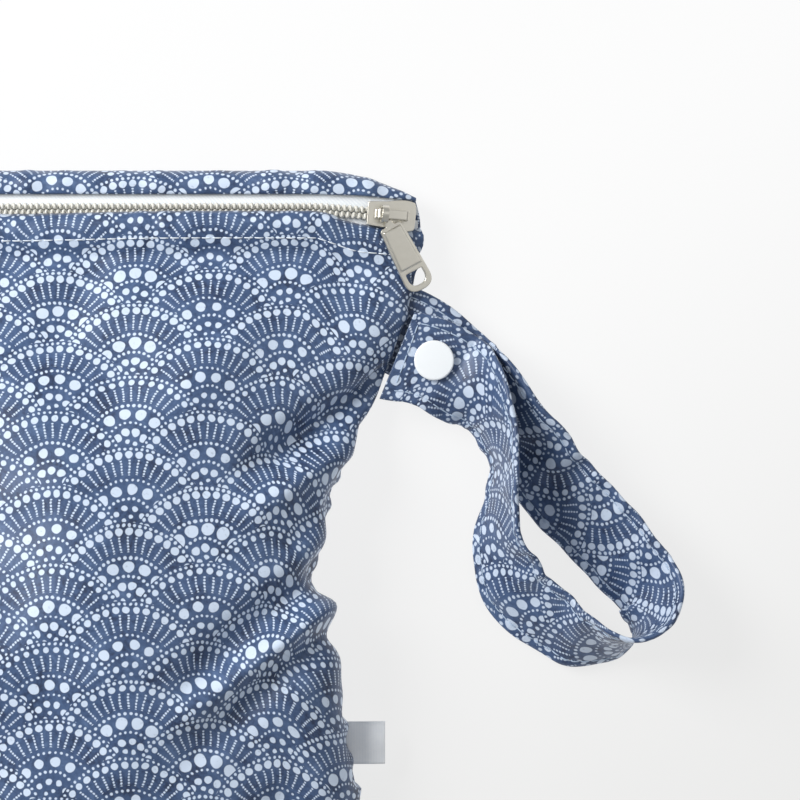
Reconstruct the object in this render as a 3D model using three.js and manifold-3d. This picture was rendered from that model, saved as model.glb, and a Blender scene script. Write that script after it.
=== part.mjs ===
// A small zipped cloth wet bag lying on its back, with a wrist strap snapped into a loop.
// Millimetres. +X is the bag's right, +Y its top edge, +Z up from the surface it lies on.
import * as THREE from 'three';
import { mergeVertices } from 'three/addons/utils/BufferGeometryUtils.js';
import Module from 'manifold-3d';

const wasm = await Module();
wasm.setup();

// Bag
const bagWidth = 210;
const bagHeight = 256.4;
const clothWall = 1.2;
const seamGap = 0.5;
const fitGap = 0.3;
const cornerRim = 5.5;
const sideRimRise = 5.5;
const bottomRimRise = 4;
const topRimRise = 0.8;
const puff = 46;
const backFlatShare = 0.8;
const topCornerDrop = 8;
const bottomPull = 8;
const bottomCornerRise = 7;
const cornerShare = 0.28;

// Zip
const zipBelowTop = 11.5;
const zipEndDrop = 2.3;
const zipRise = 4.2;
const tapeThickness = 0.9;
const tapeUnderCloth = 1.4;
const tapeShownAbove = 4.4;
const tapeShownBelow = 2.5;
const coilRowWidth = 2.05;
const coilHeight = 1.7;
const coilMiddleGap = 0.3;
const bandRoll = 4.5;

// Slider and pull
const sliderFromSide = 9;
const sliderLength = 14;
const sliderNarrow = 7.2;
const sliderWide = 9;
const sliderGap = 0.4;
const lowerPlateShare = 0.82;
const plateThickness = 1.3;
const postWidth = 0.9;
const postLength = 3;
const bridgeLength = 9.4;
const bridgeWidth = 2.7;
const bridgeBar = 1.1;
const eyeWall = 0.8;
const eyeWidth = 2;
const pullLength = 24.6;
const pullTopWidth = 6.9;
const pullEndWidth = 8.8;
const pullThickness = 1.5;
const pullSkew = 32.5;
const pullAlong = -2.5;
const pullHoleWidth = 5.3;
const pullHoleHeight = 4.2;
const pullRestPitch = 1.5;

// Wrist strap, its snap and the side label
const strapWidth = 26.4;
const strapThickness = 1.6;
const strapReach = 84;
const strapRootShare = 0.84;
const snapDiameterShare = 0.1381;
const snapCapHeight = 1.7;
const snapCoreShare = 0.69;
const snapCoreHeight = 2.1;
const snapAlongShare = 0.1119;
const snapBelowShare = 0.1024;
const labelWidth = 12.5;
const labelReach = 11;
const labelThickness = 1;
const labelShare = 0.345;
const sewnIn = 4;
const seamOpening = 6;

// The side seams: how far each one is drawn in by the filling, as shares of the bag's width,
// and how far past upright the front cloth rolls over it, in degrees.
const sideRows = [
  { height: 0, right: 0, left: 0, roll: 0 },
  { height: 0.1, right: 0.03, left: 0.02, roll: 0 },
  { height: 0.2, right: 0.064, left: 0.05, roll: 3 },
  { height: 0.29, right: 0.088, left: 0.08, roll: 6 },
  { height: 0.37, right: 0.107, left: 0.095, roll: 10 },
  { height: 0.46, right: 0.128, left: 0.104, roll: 14 },
  { height: 0.53, right: 0.15, left: 0.105, roll: 16 },
  { height: 0.58, right: 0.142, left: 0.104, roll: 15 },
  { height: 0.65, right: 0.122, left: 0.096, roll: 11 },
  { height: 0.7, right: 0.104, left: 0.085, roll: 5 },
  { height: 0.75, right: 0.066, left: 0.066, roll: 0 },
  { height: 0.8, right: 0.044, left: 0.046, roll: 0 },
  { height: 0.86, right: 0.018, left: 0.026, roll: 0 },
  { height: 0.95, right: 0, left: 0.005, roll: 0 },
  { height: 0.975, right: 0, left: 0.002, roll: 0 },
  { height: 1, right: 0.007, left: 0.007, roll: 0 },
];

// Folds and dents of the front cloth: ends as shares of half the width and half the height,
// depth (in is negative) and half breadth as shares of the bag's width.
const foldRows = [
  { x1: 0.74, y1: 0.09, x2: 0.36, y2: -0.16, depth: -0.02, breadth: 0.03 },
  { x1: 0.73, y1: 0.03, x2: 0.34, y2: -0.24, depth: 0.012, breadth: 0.018 },
  { x1: 0.74, y1: -0.04, x2: 0.4, y2: -0.31, depth: -0.012, breadth: 0.018 },
  { x1: 0.86, y1: 0.47, x2: 0.5, y2: 0.3, depth: -0.017, breadth: 0.026 },
  { x1: 0.84, y1: 0.36, x2: 0.52, y2: 0.17, depth: 0.008, breadth: 0.022 },
  { x1: -0.76, y1: 0.12, x2: -0.4, y2: 0.02, depth: -0.014, breadth: 0.026 },
  { x1: 0.1, y1: 0.78, x2: -0.05, y2: 0.55, depth: -0.007, breadth: 0.03 },
];

// The free part of the strap's loop, from the root round the far turn to the snapped end:
// reach and across as shares of strapReach from the root, height of its middle line as a share
// of the strap's width, and lean of its width from flat, in degrees.
const strapRows = [
  { reach: 0.169, across: -0.121, height: 0.258, lean: 0 },
  { reach: 0.21, across: -0.155, height: 0.265, lean: 11 },
  { reach: 0.257, across: -0.184, height: 0.299, lean: 24 },
  { reach: 0.295, across: -0.21, height: 0.352, lean: 35 },
  { reach: 0.333, across: -0.247, height: 0.39, lean: 41 },
  { reach: 0.376, across: -0.299, height: 0.409, lean: 44 },
  { reach: 0.428, across: -0.376, height: 0.413, lean: 44 },
  { reach: 0.474, across: -0.444, height: 0.364, lean: 37 },
  { reach: 0.532, across: -0.528, height: 0.307, lean: 29 },
  { reach: 0.7, across: -0.708, height: 0.311, lean: 30 },
  { reach: 0.775, across: -0.788, height: 0.333, lean: 33 },
  { reach: 0.835, across: -0.861, height: 0.364, lean: 38 },
  { reach: 0.864, across: -0.905, height: 0.402, lean: 43 },
  { reach: 0.87, across: -0.953, height: 0.451, lean: 52 },
  { reach: 0.855, across: -1.007, height: 0.515, lean: 68 },
  { reach: 0.816, across: -1.057, height: 0.553, lean: 88 },
  { reach: 0.751, across: -1.078, height: 0.538, lean: 106 },
  { reach: 0.635, across: -1.068, height: 0.47, lean: 125 },
  { reach: 0.551, across: -1.03, height: 0.428, lean: 133 },
  { reach: 0.483, across: -0.977, height: 0.405, lean: 137 },
  { reach: 0.403, across: -0.9, height: 0.398, lean: 138 },
  { reach: 0.355, across: -0.787, height: 0.447, lean: 130 },
  { reach: 0.342, across: -0.682, height: 0.508, lean: 117 },
  { reach: 0.351, across: -0.574, height: 0.545, lean: 107 },
  { reach: 0.349, across: -0.44, height: 0.568, lean: 107 },
  { reach: 0.338, across: -0.387, height: 0.576, lean: 112 },
  { reach: 0.321, across: -0.328, height: 0.568, lean: 118 },
  { reach: 0.299, across: -0.277, height: 0.553, lean: 126 },
  { reach: 0.263, across: -0.227, height: 0.515, lean: 140 },
  { reach: 0.222, across: -0.186, height: 0.455, lean: 163 },
  { reach: 0.177, across: -0.153, height: 0.42, lean: 180 },
];

// Outline of half the slider's plates: along as a share of its length from the middle,
// half as a share of the step from the narrow to the wide width.
const sliderRows = [
  { along: -0.5, half: -0.9 },
  { along: -0.46, half: -0.25 },
  { along: -0.34, half: 0 },
  { along: -0.1, half: 0.25 },
  { along: 0.12, half: 0.85 },
  { along: 0.28, half: 1 },
  { along: 0.42, half: 0.7 },
  { along: 0.5, half: -0.5 },
];

const degrees = Math.PI / 180;
const halfWidth = bagWidth / 2;
const halfHeight = bagHeight / 2;
const clamp = (value) => Math.min(1, Math.max(0, value));
const mix = (a, b, share) => a + (b - a) * share;
const smooth = (from, to, value) => {
  const share = clamp((value - from) / (to - from));
  return share * share * (3 - 2 * share);
};

// A column of a table as a smooth curve through its rows.
function columnAt(rows, key, column, at) {
  let row = 0;
  while (row < rows.length - 2 && at > rows[row + 1][key]) row += 1;
  const low = rows[row];
  const high = rows[row + 1];
  const before = rows[Math.max(row - 1, 0)];
  const after = rows[Math.min(row + 2, rows.length - 1)];
  const span = high[key] - low[key];
  const slopeLow = ((high[column] - before[column]) / (high[key] - before[key])) * span;
  const slopeHigh = ((after[column] - low[column]) / (after[key] - low[key])) * span;
  const t = clamp((at - low[key]) / span);
  const t2 = t * t;
  const t3 = t2 * t;
  return low[column] * (2 * t3 - 3 * t2 + 1) + slopeLow * (t3 - 2 * t2 + t)
    + high[column] * (3 * t2 - 2 * t3) + slopeHigh * (t3 - t2);
}

// The bag's outline. A place on it has a share across, from -1 at the left seam to 1 at the
// right one, and a share up, from 0 at the bottom seam to 1 at the top fold.
const cornerTurn = (across) => clamp((Math.abs(across) - 1 + cornerShare) / cornerShare);
const topY = (across) => halfHeight - topCornerDrop * cornerTurn(across) ** 2;
const bottomY = (across) =>
  -halfHeight + bottomPull * (1 - across * across) + bottomCornerRise * cornerTurn(across) ** 3;
const yAt = (across, up) => mix(bottomY(across), topY(across), up);
const upAt = (across, y) => (y - bottomY(across)) / (topY(across) - bottomY(across));
const xAt = (across, up) => {
  const side = across < 0 ? 'left' : 'right';
  return across * (halfWidth - bagWidth * columnAt(sideRows, 'height', side, up));
};

// Things sewn into the right side seam hold it open and level across their width.
const sewnRows = [
  { up: strapRootShare, width: strapWidth, thickness: strapThickness },
  { up: labelShare, width: labelWidth, thickness: labelThickness },
];
const heldAt = (row, across, up) => {
  const away = (Math.abs(up - row.up) * bagHeight) / (row.width / 2 + seamOpening);
  return smooth(1.4, 1, away) * smooth(0.8, 0.92, across);
};

function rimZ(across, up) {
  const side = (share) => sideRimRise * Math.sin(Math.PI * clamp(share)) ** 2;
  let rise = side(up);
  for (const row of sewnRows) rise = mix(rise, side(row.up), heldAt(row, across, up));
  return cornerRim + rise * Math.abs(across) ** 6
    + bottomRimRise * (1 - across * across) * (1 - up) ** 6
    + topRimRise * (1 - across * across) * up ** 6;
}

function halfSeamGap(across, up) {
  let half = seamGap / 2;
  for (const row of sewnRows) {
    half = mix(half, row.thickness / 2 + seamGap, heldAt(row, across, up));
  }
  return half;
}

// The zip's middle line, its lowest tape face, and the cloth edges on both sides of it.
const zipY = (across) => halfHeight - zipBelowTop - zipEndDrop * cornerTurn(across) ** 1.05;
const zipZ = (across) => cornerRim + fitGap + zipRise * (1 - Math.abs(across) ** 8);
const clothOverTape = tapeThickness + fitGap + clothWall;
const sliderX = halfWidth - sliderFromSide;
const sliderShare = sliderX / halfWidth;
const rowEdge = coilMiddleGap / 2 + coilRowWidth;
const besideZip = (across, shown) => {
  const pushed = sliderWide / 2 + sliderGap - shown;
  const away = (sliderShare - across) * halfWidth;
  return shown + pushed * smooth(sliderLength * 1.5, sliderLength * 0.55, away);
};
const bandY = (across) => zipY(across) + besideZip(across, tapeShownAbove);
const hemY = (across) => zipY(across) - besideZip(across, tapeShownBelow);

// A closed sheet of cloth from its outer face. The last argument gives, for a place on the
// sheet, the way in which its wall goes inwards there, or null for square to the face.
function sheet(columns, rows, wall, outward, faceAt, edgeAt) {
  const outer = [];
  for (let j = 0; j <= rows; j += 1) {
    for (let i = 0; i <= columns; i += 1) outer.push(faceAt(i / columns, j / rows));
  }
  const at = (i, j) => outer[j * (columns + 1) + i];
  const inner = outer.map((point, index) => {
    const i = index % (columns + 1);
    const j = Math.floor(index / (columns + 1));
    const across = at(Math.min(i + 1, columns), j).clone().sub(at(Math.max(i - 1, 0), j));
    const along = at(i, Math.min(j + 1, rows)).clone().sub(at(i, Math.max(j - 1, 0)));
    const square = across.cross(along).normalize().multiplyScalar(outward);
    const edge = edgeAt(i / columns, j / rows, square);
    return point.clone().addScaledVector(edge ?? square, -wall);
  });
  const count = outer.length;
  const faces = [];
  const quad = (a, b, c, d) => {
    if (outward > 0) faces.push(a, b, c, a, c, d);
    else faces.push(a, c, b, a, d, c);
  };
  for (let j = 0; j < rows; j += 1) {
    for (let i = 0; i < columns; i += 1) {
      const a = j * (columns + 1) + i;
      const b = a + 1;
      const c = b + columns + 1;
      const d = a + columns + 1;
      quad(a, b, c, d);
      quad(count + a, count + d, count + c, count + b);
    }
  }
  const rim = [];
  for (let i = 0; i < columns; i += 1) rim.push(i);
  for (let j = 0; j < rows; j += 1) rim.push(j * (columns + 1) + columns);
  for (let i = columns; i > 0; i -= 1) rim.push(rows * (columns + 1) + i);
  for (let j = rows; j > 0; j -= 1) rim.push(j * (columns + 1));
  rim.forEach((a, index) => {
    const b = rim[(index + 1) % rim.length];
    quad(a, count + a, count + b, b);
  });
  return solidFrom([...outer, ...inner], faces);
}

function solidFrom(points, faces) {
  const geometry = new THREE.BufferGeometry().setFromPoints(points);
  geometry.setIndex(faces);
  geometry.computeVertexNormals();
  return geometry;
}

// A band with a chamfered section swept along places that have a point, the way across it
// and the way off its face.
function band(places, width, thickness) {
  const chamfer = thickness * 0.25;
  const w = width / 2;
  const h = thickness / 2;
  const section = [
    [-w + chamfer, -h], [w - chamfer, -h], [w, -h + chamfer], [w, h - chamfer],
    [w - chamfer, h], [-w + chamfer, h], [-w, h - chamfer], [-w, -h + chamfer],
  ];
  const sides = section.length;
  const points = [];
  for (const place of places) {
    for (const [a, b] of section) {
      points.push(place.point.clone().addScaledVector(place.across, a).addScaledVector(place.off, b));
    }
  }
  const faces = [];
  for (let k = 0; k < places.length - 1; k += 1) {
    for (let n = 0; n < sides; n += 1) {
      const a = k * sides + n;
      const b = k * sides + ((n + 1) % sides);
      faces.push(a, b, a + sides, b, b + sides, a + sides);
    }
  }
  const last = (places.length - 1) * sides;
  for (let n = 1; n < sides - 1; n += 1) {
    faces.push(0, n + 1, n, last, last + n, last + n + 1);
  }
  return solidFrom(points, faces);
}

// Places along a curve, where the band's width leans from flat by an angle.
function placesAlong(curve, leanAt, steps) {
  const places = [];
  for (let step = 0; step <= steps; step += 1) {
    const share = step / steps;
    const point = curve.getPointAt(share);
    const ahead = curve.getTangentAt(share);
    const left = new THREE.Vector3(-ahead.y, ahead.x, 0).normalize();
    const up = ahead.clone().cross(left);
    const lean = leanAt(curve.getUtoTmapping(share)) * degrees;
    const across = left.multiplyScalar(Math.cos(lean)).addScaledVector(up, Math.sin(lean));
    places.push({ point, across, off: ahead.clone().cross(across).normalize() });
  }
  return places;
}

function toManifold(geometry) {
  const bare = geometry.clone();
  bare.deleteAttribute('normal');
  bare.deleteAttribute('uv');
  const merged = mergeVertices(bare, 1e-4);
  return new wasm.Manifold(new wasm.Mesh({
    numProp: 3,
    vertProperties: new Float32Array(merged.attributes.position.array),
    triVerts: new Uint32Array(merged.index.array),
  }));
}

function fromManifold(manifold) {
  const mesh = manifold.getMesh();
  const geometry = new THREE.BufferGeometry();
  geometry.setAttribute('position', new THREE.BufferAttribute(mesh.vertProperties, 3));
  geometry.setIndex(new THREE.BufferAttribute(mesh.triVerts, 1));
  geometry.computeVertexNormals();
  return geometry;
}

const extruded = (shape, depth, bevel = 0) => new THREE.ExtrudeGeometry(shape, {
  depth: depth - 2 * bevel,
  bevelEnabled: bevel > 0,
  bevelThickness: bevel,
  bevelSize: bevel,
  bevelOffset: -bevel,
  bevelSegments: 1,
  curveSegments: 6,
}).translate(0, 0, bevel);

// Folds push the front cloth in or out, and fade at both of their ends.
function foldDepth(x, y) {
  let depth = 0;
  for (const row of foldRows) {
    const from = new THREE.Vector2(row.x1 * halfWidth, row.y1 * halfHeight);
    const along = new THREE.Vector2(row.x2 * halfWidth, row.y2 * halfHeight).sub(from);
    const to = new THREE.Vector2(x, y).sub(from);
    const share = to.dot(along) / along.lengthSq();
    const away = to.addScaledVector(along, -clamp(share)).length() / (row.breadth * bagWidth);
    depth += row.depth * bagWidth * Math.exp(-away * away) * smooth(1.15, 0.5, share);
  }
  return depth;
}

// Front cloth: rises from the side and bottom seams over the filling, down to its folded hem
// along the zip.
function frontFace(shareAcross, shareUp) {
  const w = shareUp ** 1.35;
  const roll = columnAt(sideRows, 'height', 'roll', w * 0.95);
  const end = (90 + roll) * degrees;
  const angle = (2 * shareAcross - 1) * end;
  const free = Math.sin(angle) / Math.sin(end);
  const across = Math.max(-1, Math.min(1, free));
  const y = mix(bottomY(across), hemY(across), w);
  const up = upAt(across, y);
  const x = (free / (across || 1)) * xAt(across, up);
  const rim = rimZ(across, up) + halfSeamGap(across, up);
  const hem = zipZ(across) + clothOverTape;
  const hemShare = smooth(14, 6, hemY(across) - y);
  const dome = puff * (1 - (1 - w) ** 3.2) ** 0.6 * (1 - w ** 3.4);
  const rise = (Math.cos(angle) - Math.cos(end)) / (1 - Math.cos(end));
  return new THREE.Vector3(x, y, mix(rim, hem, hemShare) + dome * rise);
}

const outlineOut = (across, up) => {
  const sideways = Math.abs(across) ** 12 * Math.sign(across);
  const lengthways = up < 0.5 ? -((1 - up) ** 24) : up ** 24;
  return new THREE.Vector3(sideways, lengthways, 0).normalize();
};

function frontPanel() {
  const step = 0.004;
  const face = (a, b) => {
    const point = frontFace(a, b);
    const inside = smooth(0, 0.06, Math.min(a, 1 - a, b)) * smooth(0, 0.12, 1 - b);
    if (inside === 0) return point;
    const right = frontFace(a + step, b).sub(frontFace(a - step, b));
    const up = frontFace(a, b + step).sub(frontFace(a, b - step));
    return point.addScaledVector(right.cross(up).normalize(), foldDepth(point.x, point.y) * inside);
  };
  const edge = (a, b, square) => {
    if (b === 0) return outlineOut(2 * a - 1, 0);
    if (a !== 0 && a !== 1) return b === 1 ? new THREE.Vector3(0, 0, 1) : null;
    const level = outlineOut(2 * a - 1, b * 0.9);
    const near = smooth(14, 6, hemY(1) - frontFace(a, b).y);
    return b === 1 ? new THREE.Vector3(0, 0, 1) : level.lerp(new THREE.Vector3(0, 0, 1), near).normalize();
  };
  return sheet(27, 28, clothWall, 1, face, edge);
}

// Back cloth: flat where it lies, turned up all round to the seams and the top fold.
function backPanel() {
  const lift = (away) => clamp((away - backFlatShare) / (1 - backFlatShare)) ** 1.7;
  const warp = (share) => {
    const t = 2 * share - 1;
    return t * (1.22 - 0.22 * t * t);
  };
  const face = (a, b) => {
    const across = warp(a);
    const lengthways = warp(b);
    const up = (lengthways + 1) / 2;
    const edge = 1 - (1 - lift(Math.abs(across))) * (1 - lift(Math.abs(lengthways)));
    const z = (rimZ(across, up) - halfSeamGap(across, up)) * edge;
    return new THREE.Vector3(xAt(across, up), yAt(across, up), z);
  };
  const edge = (a, b) =>
    a === 0 || a === 1 || b === 0 || b === 1 ? outlineOut(2 * a - 1, b) : null;
  return sheet(19, 21, clothWall, -1, face, edge);
}

// Strip of cloth between the zip and the top fold, rolled over the top.
function topBand() {
  const face = (a, b) => {
    const across = Math.sin((2 * a - 1) * 90 * degrees);
    const low = bandY(across);
    const top = topY(across);
    const turn = Math.min(bandRoll, 0.7 * (top - low));
    const zLow = zipZ(across) + clothOverTape;
    const zTop = rimZ(across, 1) + seamGap / 2;
    const flat = 0.3;
    if (b <= flat) {
      const y = mix(low, top - turn, b / flat);
      return new THREE.Vector3(xAt(across, upAt(across, y)), y, zLow);
    }
    const angle = ((b - flat) / (1 - flat)) * 90 * degrees;
    const y = top - turn + turn * Math.sin(angle);
    const z = zTop + (zLow - zTop) * Math.cos(angle);
    return new THREE.Vector3(xAt(across, upAt(across, y)), y, z);
  };
  const edge = (a, b) => (b === 1 ? new THREE.Vector3(0, 1, 0) : null);
  return sheet(30, 6, clothWall, 1, face, edge);
}

// Zip pieces are strips that follow the zip's middle line. The two rows and tapes part inside
// the slider, round its post.
function zipStrip(from, edgeAt, low, high, inset) {
  const steps = 44;
  const points = [];
  const parting = postWidth / 2 + fitGap - coilMiddleGap / 2;
  for (let step = 0; step <= steps; step += 1) {
    const share = Math.sin((2 * (step / steps) - 1) * 90 * degrees) * 0.6 + (2 * (step / steps) - 1) * 0.4;
    const x = share * (halfWidth - inset);
    const across = x / halfWidth;
    const open = Math.sign(from) * parting * smooth(sliderX, sliderX + 1.5, x);
    const y = zipY(across) + open;
    const z = zipZ(across);
    const to = edgeAt(across);
    const bevel = Math.min(Math.abs(to - from), high - low) * 0.28;
    const outline = [
      [from, low], [to, low], [to, high - bevel], [to - Math.sign(to - from) * bevel, high],
      [from + Math.sign(to - from) * bevel, high], [from, high - bevel],
    ];
    for (const [dy, dz] of outline) points.push(new THREE.Vector3(x, y + dy, z + dz));
  }
  const sides = 6;
  const faces = [];
  const turn = Math.sign(from);
  const add = (a, b, c) => (turn > 0 ? faces.push(a, c, b) : faces.push(a, b, c));
  for (let k = 0; k < steps; k += 1) {
    for (let n = 0; n < sides; n += 1) {
      const a = k * sides + n;
      const b = k * sides + ((n + 1) % sides);
      add(a, a + sides, b);
      add(b, a + sides, b + sides);
    }
  }
  const last = steps * sides;
  for (let n = 1; n < sides - 1; n += 1) {
    add(0, n, n + 1);
    add(last, last + n + 1, last + n);
  }
  return solidFrom(points, faces);
}

const tapeEdge = (across, shown) => Math.min(
  shown + tapeUnderCloth, topY(across) - zipY(across) - 2 * clothWall - fitGap - postWidth,
);
const zipTape = (side, shown) => zipStrip(
  (side * coilMiddleGap) / 2, (across) => side * tapeEdge(across, shown), 0, tapeThickness, 0.6,
);
const zipCoil = (side) => zipStrip(
  (side * coilMiddleGap) / 2, () => side * rowEdge,
  tapeThickness + fitGap, tapeThickness + fitGap + coilHeight, 1.2,
);

// Slider: two plates joined by a post between the parted rows, flanges down both sides and a
// bridge over the top plate for the pull.
const plateLow = tapeThickness + fitGap + coilHeight + sliderGap;
const plateTop = plateLow + plateThickness;
const eyeInner = Math.hypot(bridgeWidth, bridgeBar) / 2 + 0.35;
const eyeOuter = eyeInner + eyeWall;
const hingeZ = plateTop + eyeOuter + 0.4;

function sliderBody() {
  const half = (row) => sliderNarrow / 2 + (row.half * (sliderWide - sliderNarrow)) / 2;
  const outline = new THREE.Shape([
    ...sliderRows.map((row) => new THREE.Vector2(row.along * sliderLength, -half(row))),
    ...[...sliderRows].reverse().map((row) => new THREE.Vector2(row.along * sliderLength, half(row))),
  ]);
  const box = (x1, x2, y1, y2, z1, z2) => toManifold(
    new THREE.BoxGeometry(x2 - x1, y2 - y1, z2 - z1)
      .translate((x1 + x2) / 2, (y1 + y2) / 2, (z1 + z2) / 2),
  );
  const top = toManifold(extruded(outline, plateThickness, 0.35).translate(0, 0, plateLow));
  const bottomTop = -sliderGap;
  const bottom = toManifold(extruded(outline, plateThickness, 0.35)
    .scale(lowerPlateShare, lowerPlateShare, 1)
    .translate(0, 0, bottomTop - plateThickness));
  const channel = rowEdge + postWidth / 2 + fitGap + sliderGap - coilMiddleGap / 2;
  const flangeLow = tapeThickness + sliderGap;
  const flanges = toManifold(extruded(outline, plateLow + plateThickness / 2 - flangeLow)
    .translate(0, 0, flangeLow))
    .subtract(box(-sliderLength, sliderLength, -channel, channel, flangeLow - 1, plateLow));
  const postEnd = sliderLength * 0.38;
  const post = box(postEnd - postLength, postEnd, -postWidth / 2, postWidth / 2,
    bottomTop - plateThickness / 2, plateLow + plateThickness / 2);
  const high = hingeZ + bridgeBar / 2;
  const leg = 1;
  const foot = bridgeLength / 2;
  const round = 0.9;
  const arch = new THREE.Shape();
  arch.moveTo(-foot, plateTop - 0.4);
  arch.lineTo(-foot + leg, plateTop - 0.4);
  arch.lineTo(-foot + leg, hingeZ - bridgeBar / 2);
  arch.lineTo(foot - leg, hingeZ - bridgeBar / 2);
  arch.lineTo(foot - leg, plateTop - 0.4);
  arch.lineTo(foot, plateTop - 0.4);
  arch.lineTo(foot, high - round);
  arch.quadraticCurveTo(foot, high, foot - round, high);
  arch.lineTo(-foot + round, high);
  arch.quadraticCurveTo(-foot, high, -foot, high - round);
  const bridge = toManifold(extruded(arch, bridgeWidth)
    .rotateX(Math.PI / 2).translate(0, bridgeWidth / 2, 0));
  return fromManifold(top.add(bottom).add(flanges).add(post).add(bridge));
}

// Pull: an eye round the bridge, a neck, and a tapered tab with a raised middle and a hole in
// its rounded end. Its hinge is the origin, and it points to -Y.
function pullBody() {
  const tabTop = eyeOuter + 1.2;
  const endRadius = pullEndWidth / 2;
  const tab = new THREE.Shape();
  tab.moveTo(-pullTopWidth / 2 + 1.2, -tabTop);
  tab.quadraticCurveTo(-pullTopWidth / 2, -tabTop, -pullTopWidth / 2 - 0.1, -tabTop - 1.4);
  tab.lineTo(-endRadius, -pullLength + endRadius * 0.9);
  tab.quadraticCurveTo(-endRadius, -pullLength, -endRadius * 0.3, -pullLength);
  tab.lineTo(endRadius * 0.3, -pullLength);
  tab.quadraticCurveTo(endRadius, -pullLength, endRadius, -pullLength + endRadius * 0.9);
  tab.lineTo(pullTopWidth / 2 + 0.1, -tabTop - 1.4);
  tab.quadraticCurveTo(pullTopWidth / 2, -tabTop, pullTopWidth / 2 - 1.2, -tabTop);
  const holeY = -pullLength + 1.7 + pullHoleHeight;
  const hole = new THREE.Path();
  hole.moveTo(-pullHoleWidth / 2, holeY);
  hole.quadraticCurveTo(-pullHoleWidth / 2, holeY - pullHoleHeight, 0, holeY - pullHoleHeight);
  hole.quadraticCurveTo(pullHoleWidth / 2, holeY - pullHoleHeight, pullHoleWidth / 2, holeY);
  hole.closePath();
  tab.holes.push(hole);
  const plate = toManifold(extruded(tab, pullThickness, 0.3).translate(0, 0, -eyeOuter));
  const raised = new THREE.Shape();
  raised.moveTo(-pullTopWidth / 2 + 1.1, -tabTop - 1.4);
  raised.lineTo(-pullEndWidth / 2 + 1.3, holeY + 1.2);
  raised.lineTo(pullEndWidth / 2 - 1.3, holeY + 1.2);
  raised.lineTo(pullTopWidth / 2 - 1.1, -tabTop - 1.4);
  const ridge = 0.4;
  const boss = toManifold(extruded(raised, pullThickness + ridge, 0.35).translate(0, 0, -eyeOuter));
  const ring = new THREE.Shape().absarc(0, 0, eyeOuter, 0, 2 * Math.PI);
  ring.holes.push(new THREE.Path().absarc(0, 0, eyeInner, 0, 2 * Math.PI));
  const eye = toManifold(extruded(ring, eyeWidth).rotateY(Math.PI / 2).translate(-eyeWidth / 2, 0, 0));
  const neckShape = new THREE.Shape([
    new THREE.Vector2(-eyeWidth / 2, -eyeInner - eyeWall * 0.4),
    new THREE.Vector2(-eyeWidth / 2 - 0.5, -tabTop - 0.6),
    new THREE.Vector2(eyeWidth / 2 + 0.5, -tabTop - 0.6),
    new THREE.Vector2(eyeWidth / 2, -eyeInner - eyeWall * 0.4),
  ]);
  const neck = toManifold(extruded(neckShape, pullThickness).translate(0, 0, -eyeOuter));
  const turned = (solid) => solid.rotate([0, 0, pullSkew]);
  return fromManifold(eye.add(turned(neck.add(plate).add(boss))));
}

// Wrist strap: one doubled band from the seam out, round the far turn and back over its root.
const rootPoint = new THREE.Vector3(
  xAt(1, strapRootShare), yAt(1, strapRootShare), rimZ(1, strapRootShare),
);
const topLayerRise = strapThickness + 2 * fitGap + snapCoreHeight;
const rootRows = [
  { reach: -sewnIn / strapReach, across: sewnIn / strapReach / 2.7, rise: 0, lean: 0 },
  { reach: 0, across: 0, rise: 0, lean: 0 },
  { reach: 0.046, across: -0.023, rise: 0, lean: 0 },
  { reach: 0.091, across: -0.052, rise: 0, lean: 0 },
  { reach: 0.129, across: -0.085, rise: 0, lean: 0 },
];
const endRows = [
  { reach: 0.132, across: -0.125, rise: topLayerRise, lean: 180 },
  { reach: 0.07, across: -0.101, rise: topLayerRise, lean: 180 },
  { reach: -0.016, across: -0.086, rise: topLayerRise, lean: 180 },
];

function strapPlaces() {
  const heldPoint = (row) => rootPoint.clone()
    .add(new THREE.Vector3(row.reach * strapReach, row.across * strapReach, row.rise));
  const freePoint = (row) => new THREE.Vector3(
    rootPoint.x + row.reach * strapReach, rootPoint.y + row.across * strapReach,
    row.height * strapWidth,
  );
  const points = [...rootRows.map(heldPoint), ...strapRows.map(freePoint), ...endRows.map(heldPoint)];
  const rows = [...rootRows, ...strapRows, ...endRows].map((row, index) => ({ ...row, index }));
  const curve = new THREE.CatmullRomCurve3(points, false, 'centripetal');
  const leanAt = (t) => columnAt(rows, 'index', 'lean', t * (rows.length - 1));
  return placesAlong(curve, leanAt, 72);
}

// The snap goes square through both layers of the strap, near its free end.
const snapPoint = rootPoint.clone().add(new THREE.Vector3(snapAlongShare, -snapBelowShare, 0).multiplyScalar(strapReach));

function disc(diameter, height, crown) {
  const r = diameter / 2;
  const profile = [
    new THREE.Vector2(0, 0), new THREE.Vector2(r - 0.2, 0), new THREE.Vector2(r, 0.25),
    new THREE.Vector2(r, height - crown), new THREE.Vector2(r * 0.82, height - crown * 0.35),
    new THREE.Vector2(r * 0.5, height), new THREE.Vector2(0, height),
  ];
  return new THREE.LatheGeometry(profile, 24).rotateX(Math.PI / 2);
}

// Side label: a short folded tape that hangs out of the seam and droops.
function labelPlaces() {
  const root = new THREE.Vector3(xAt(1, labelShare), yAt(1, labelShare), rimZ(1, labelShare));
  const droop = 3;
  const curve = new THREE.CatmullRomCurve3([
    root.clone().add(new THREE.Vector3(-sewnIn, 0, 0)),
    root.clone(),
    root.clone().add(new THREE.Vector3(labelReach * 0.35, 0, -droop * 0.12)),
    root.clone().add(new THREE.Vector3(labelReach, 0, -droop)),
  ]);
  return placesAlong(curve, () => 0, 8);
}

const cloth = { color: 0x4b6283, roughness: 0.85, metalness: 0 };
const white = { color: 0xdfe8f0, roughness: 0.6, metalness: 0 };
const metal = { color: 0xb6b5a5, roughness: 0.35, metalness: 0.9 };

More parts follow.
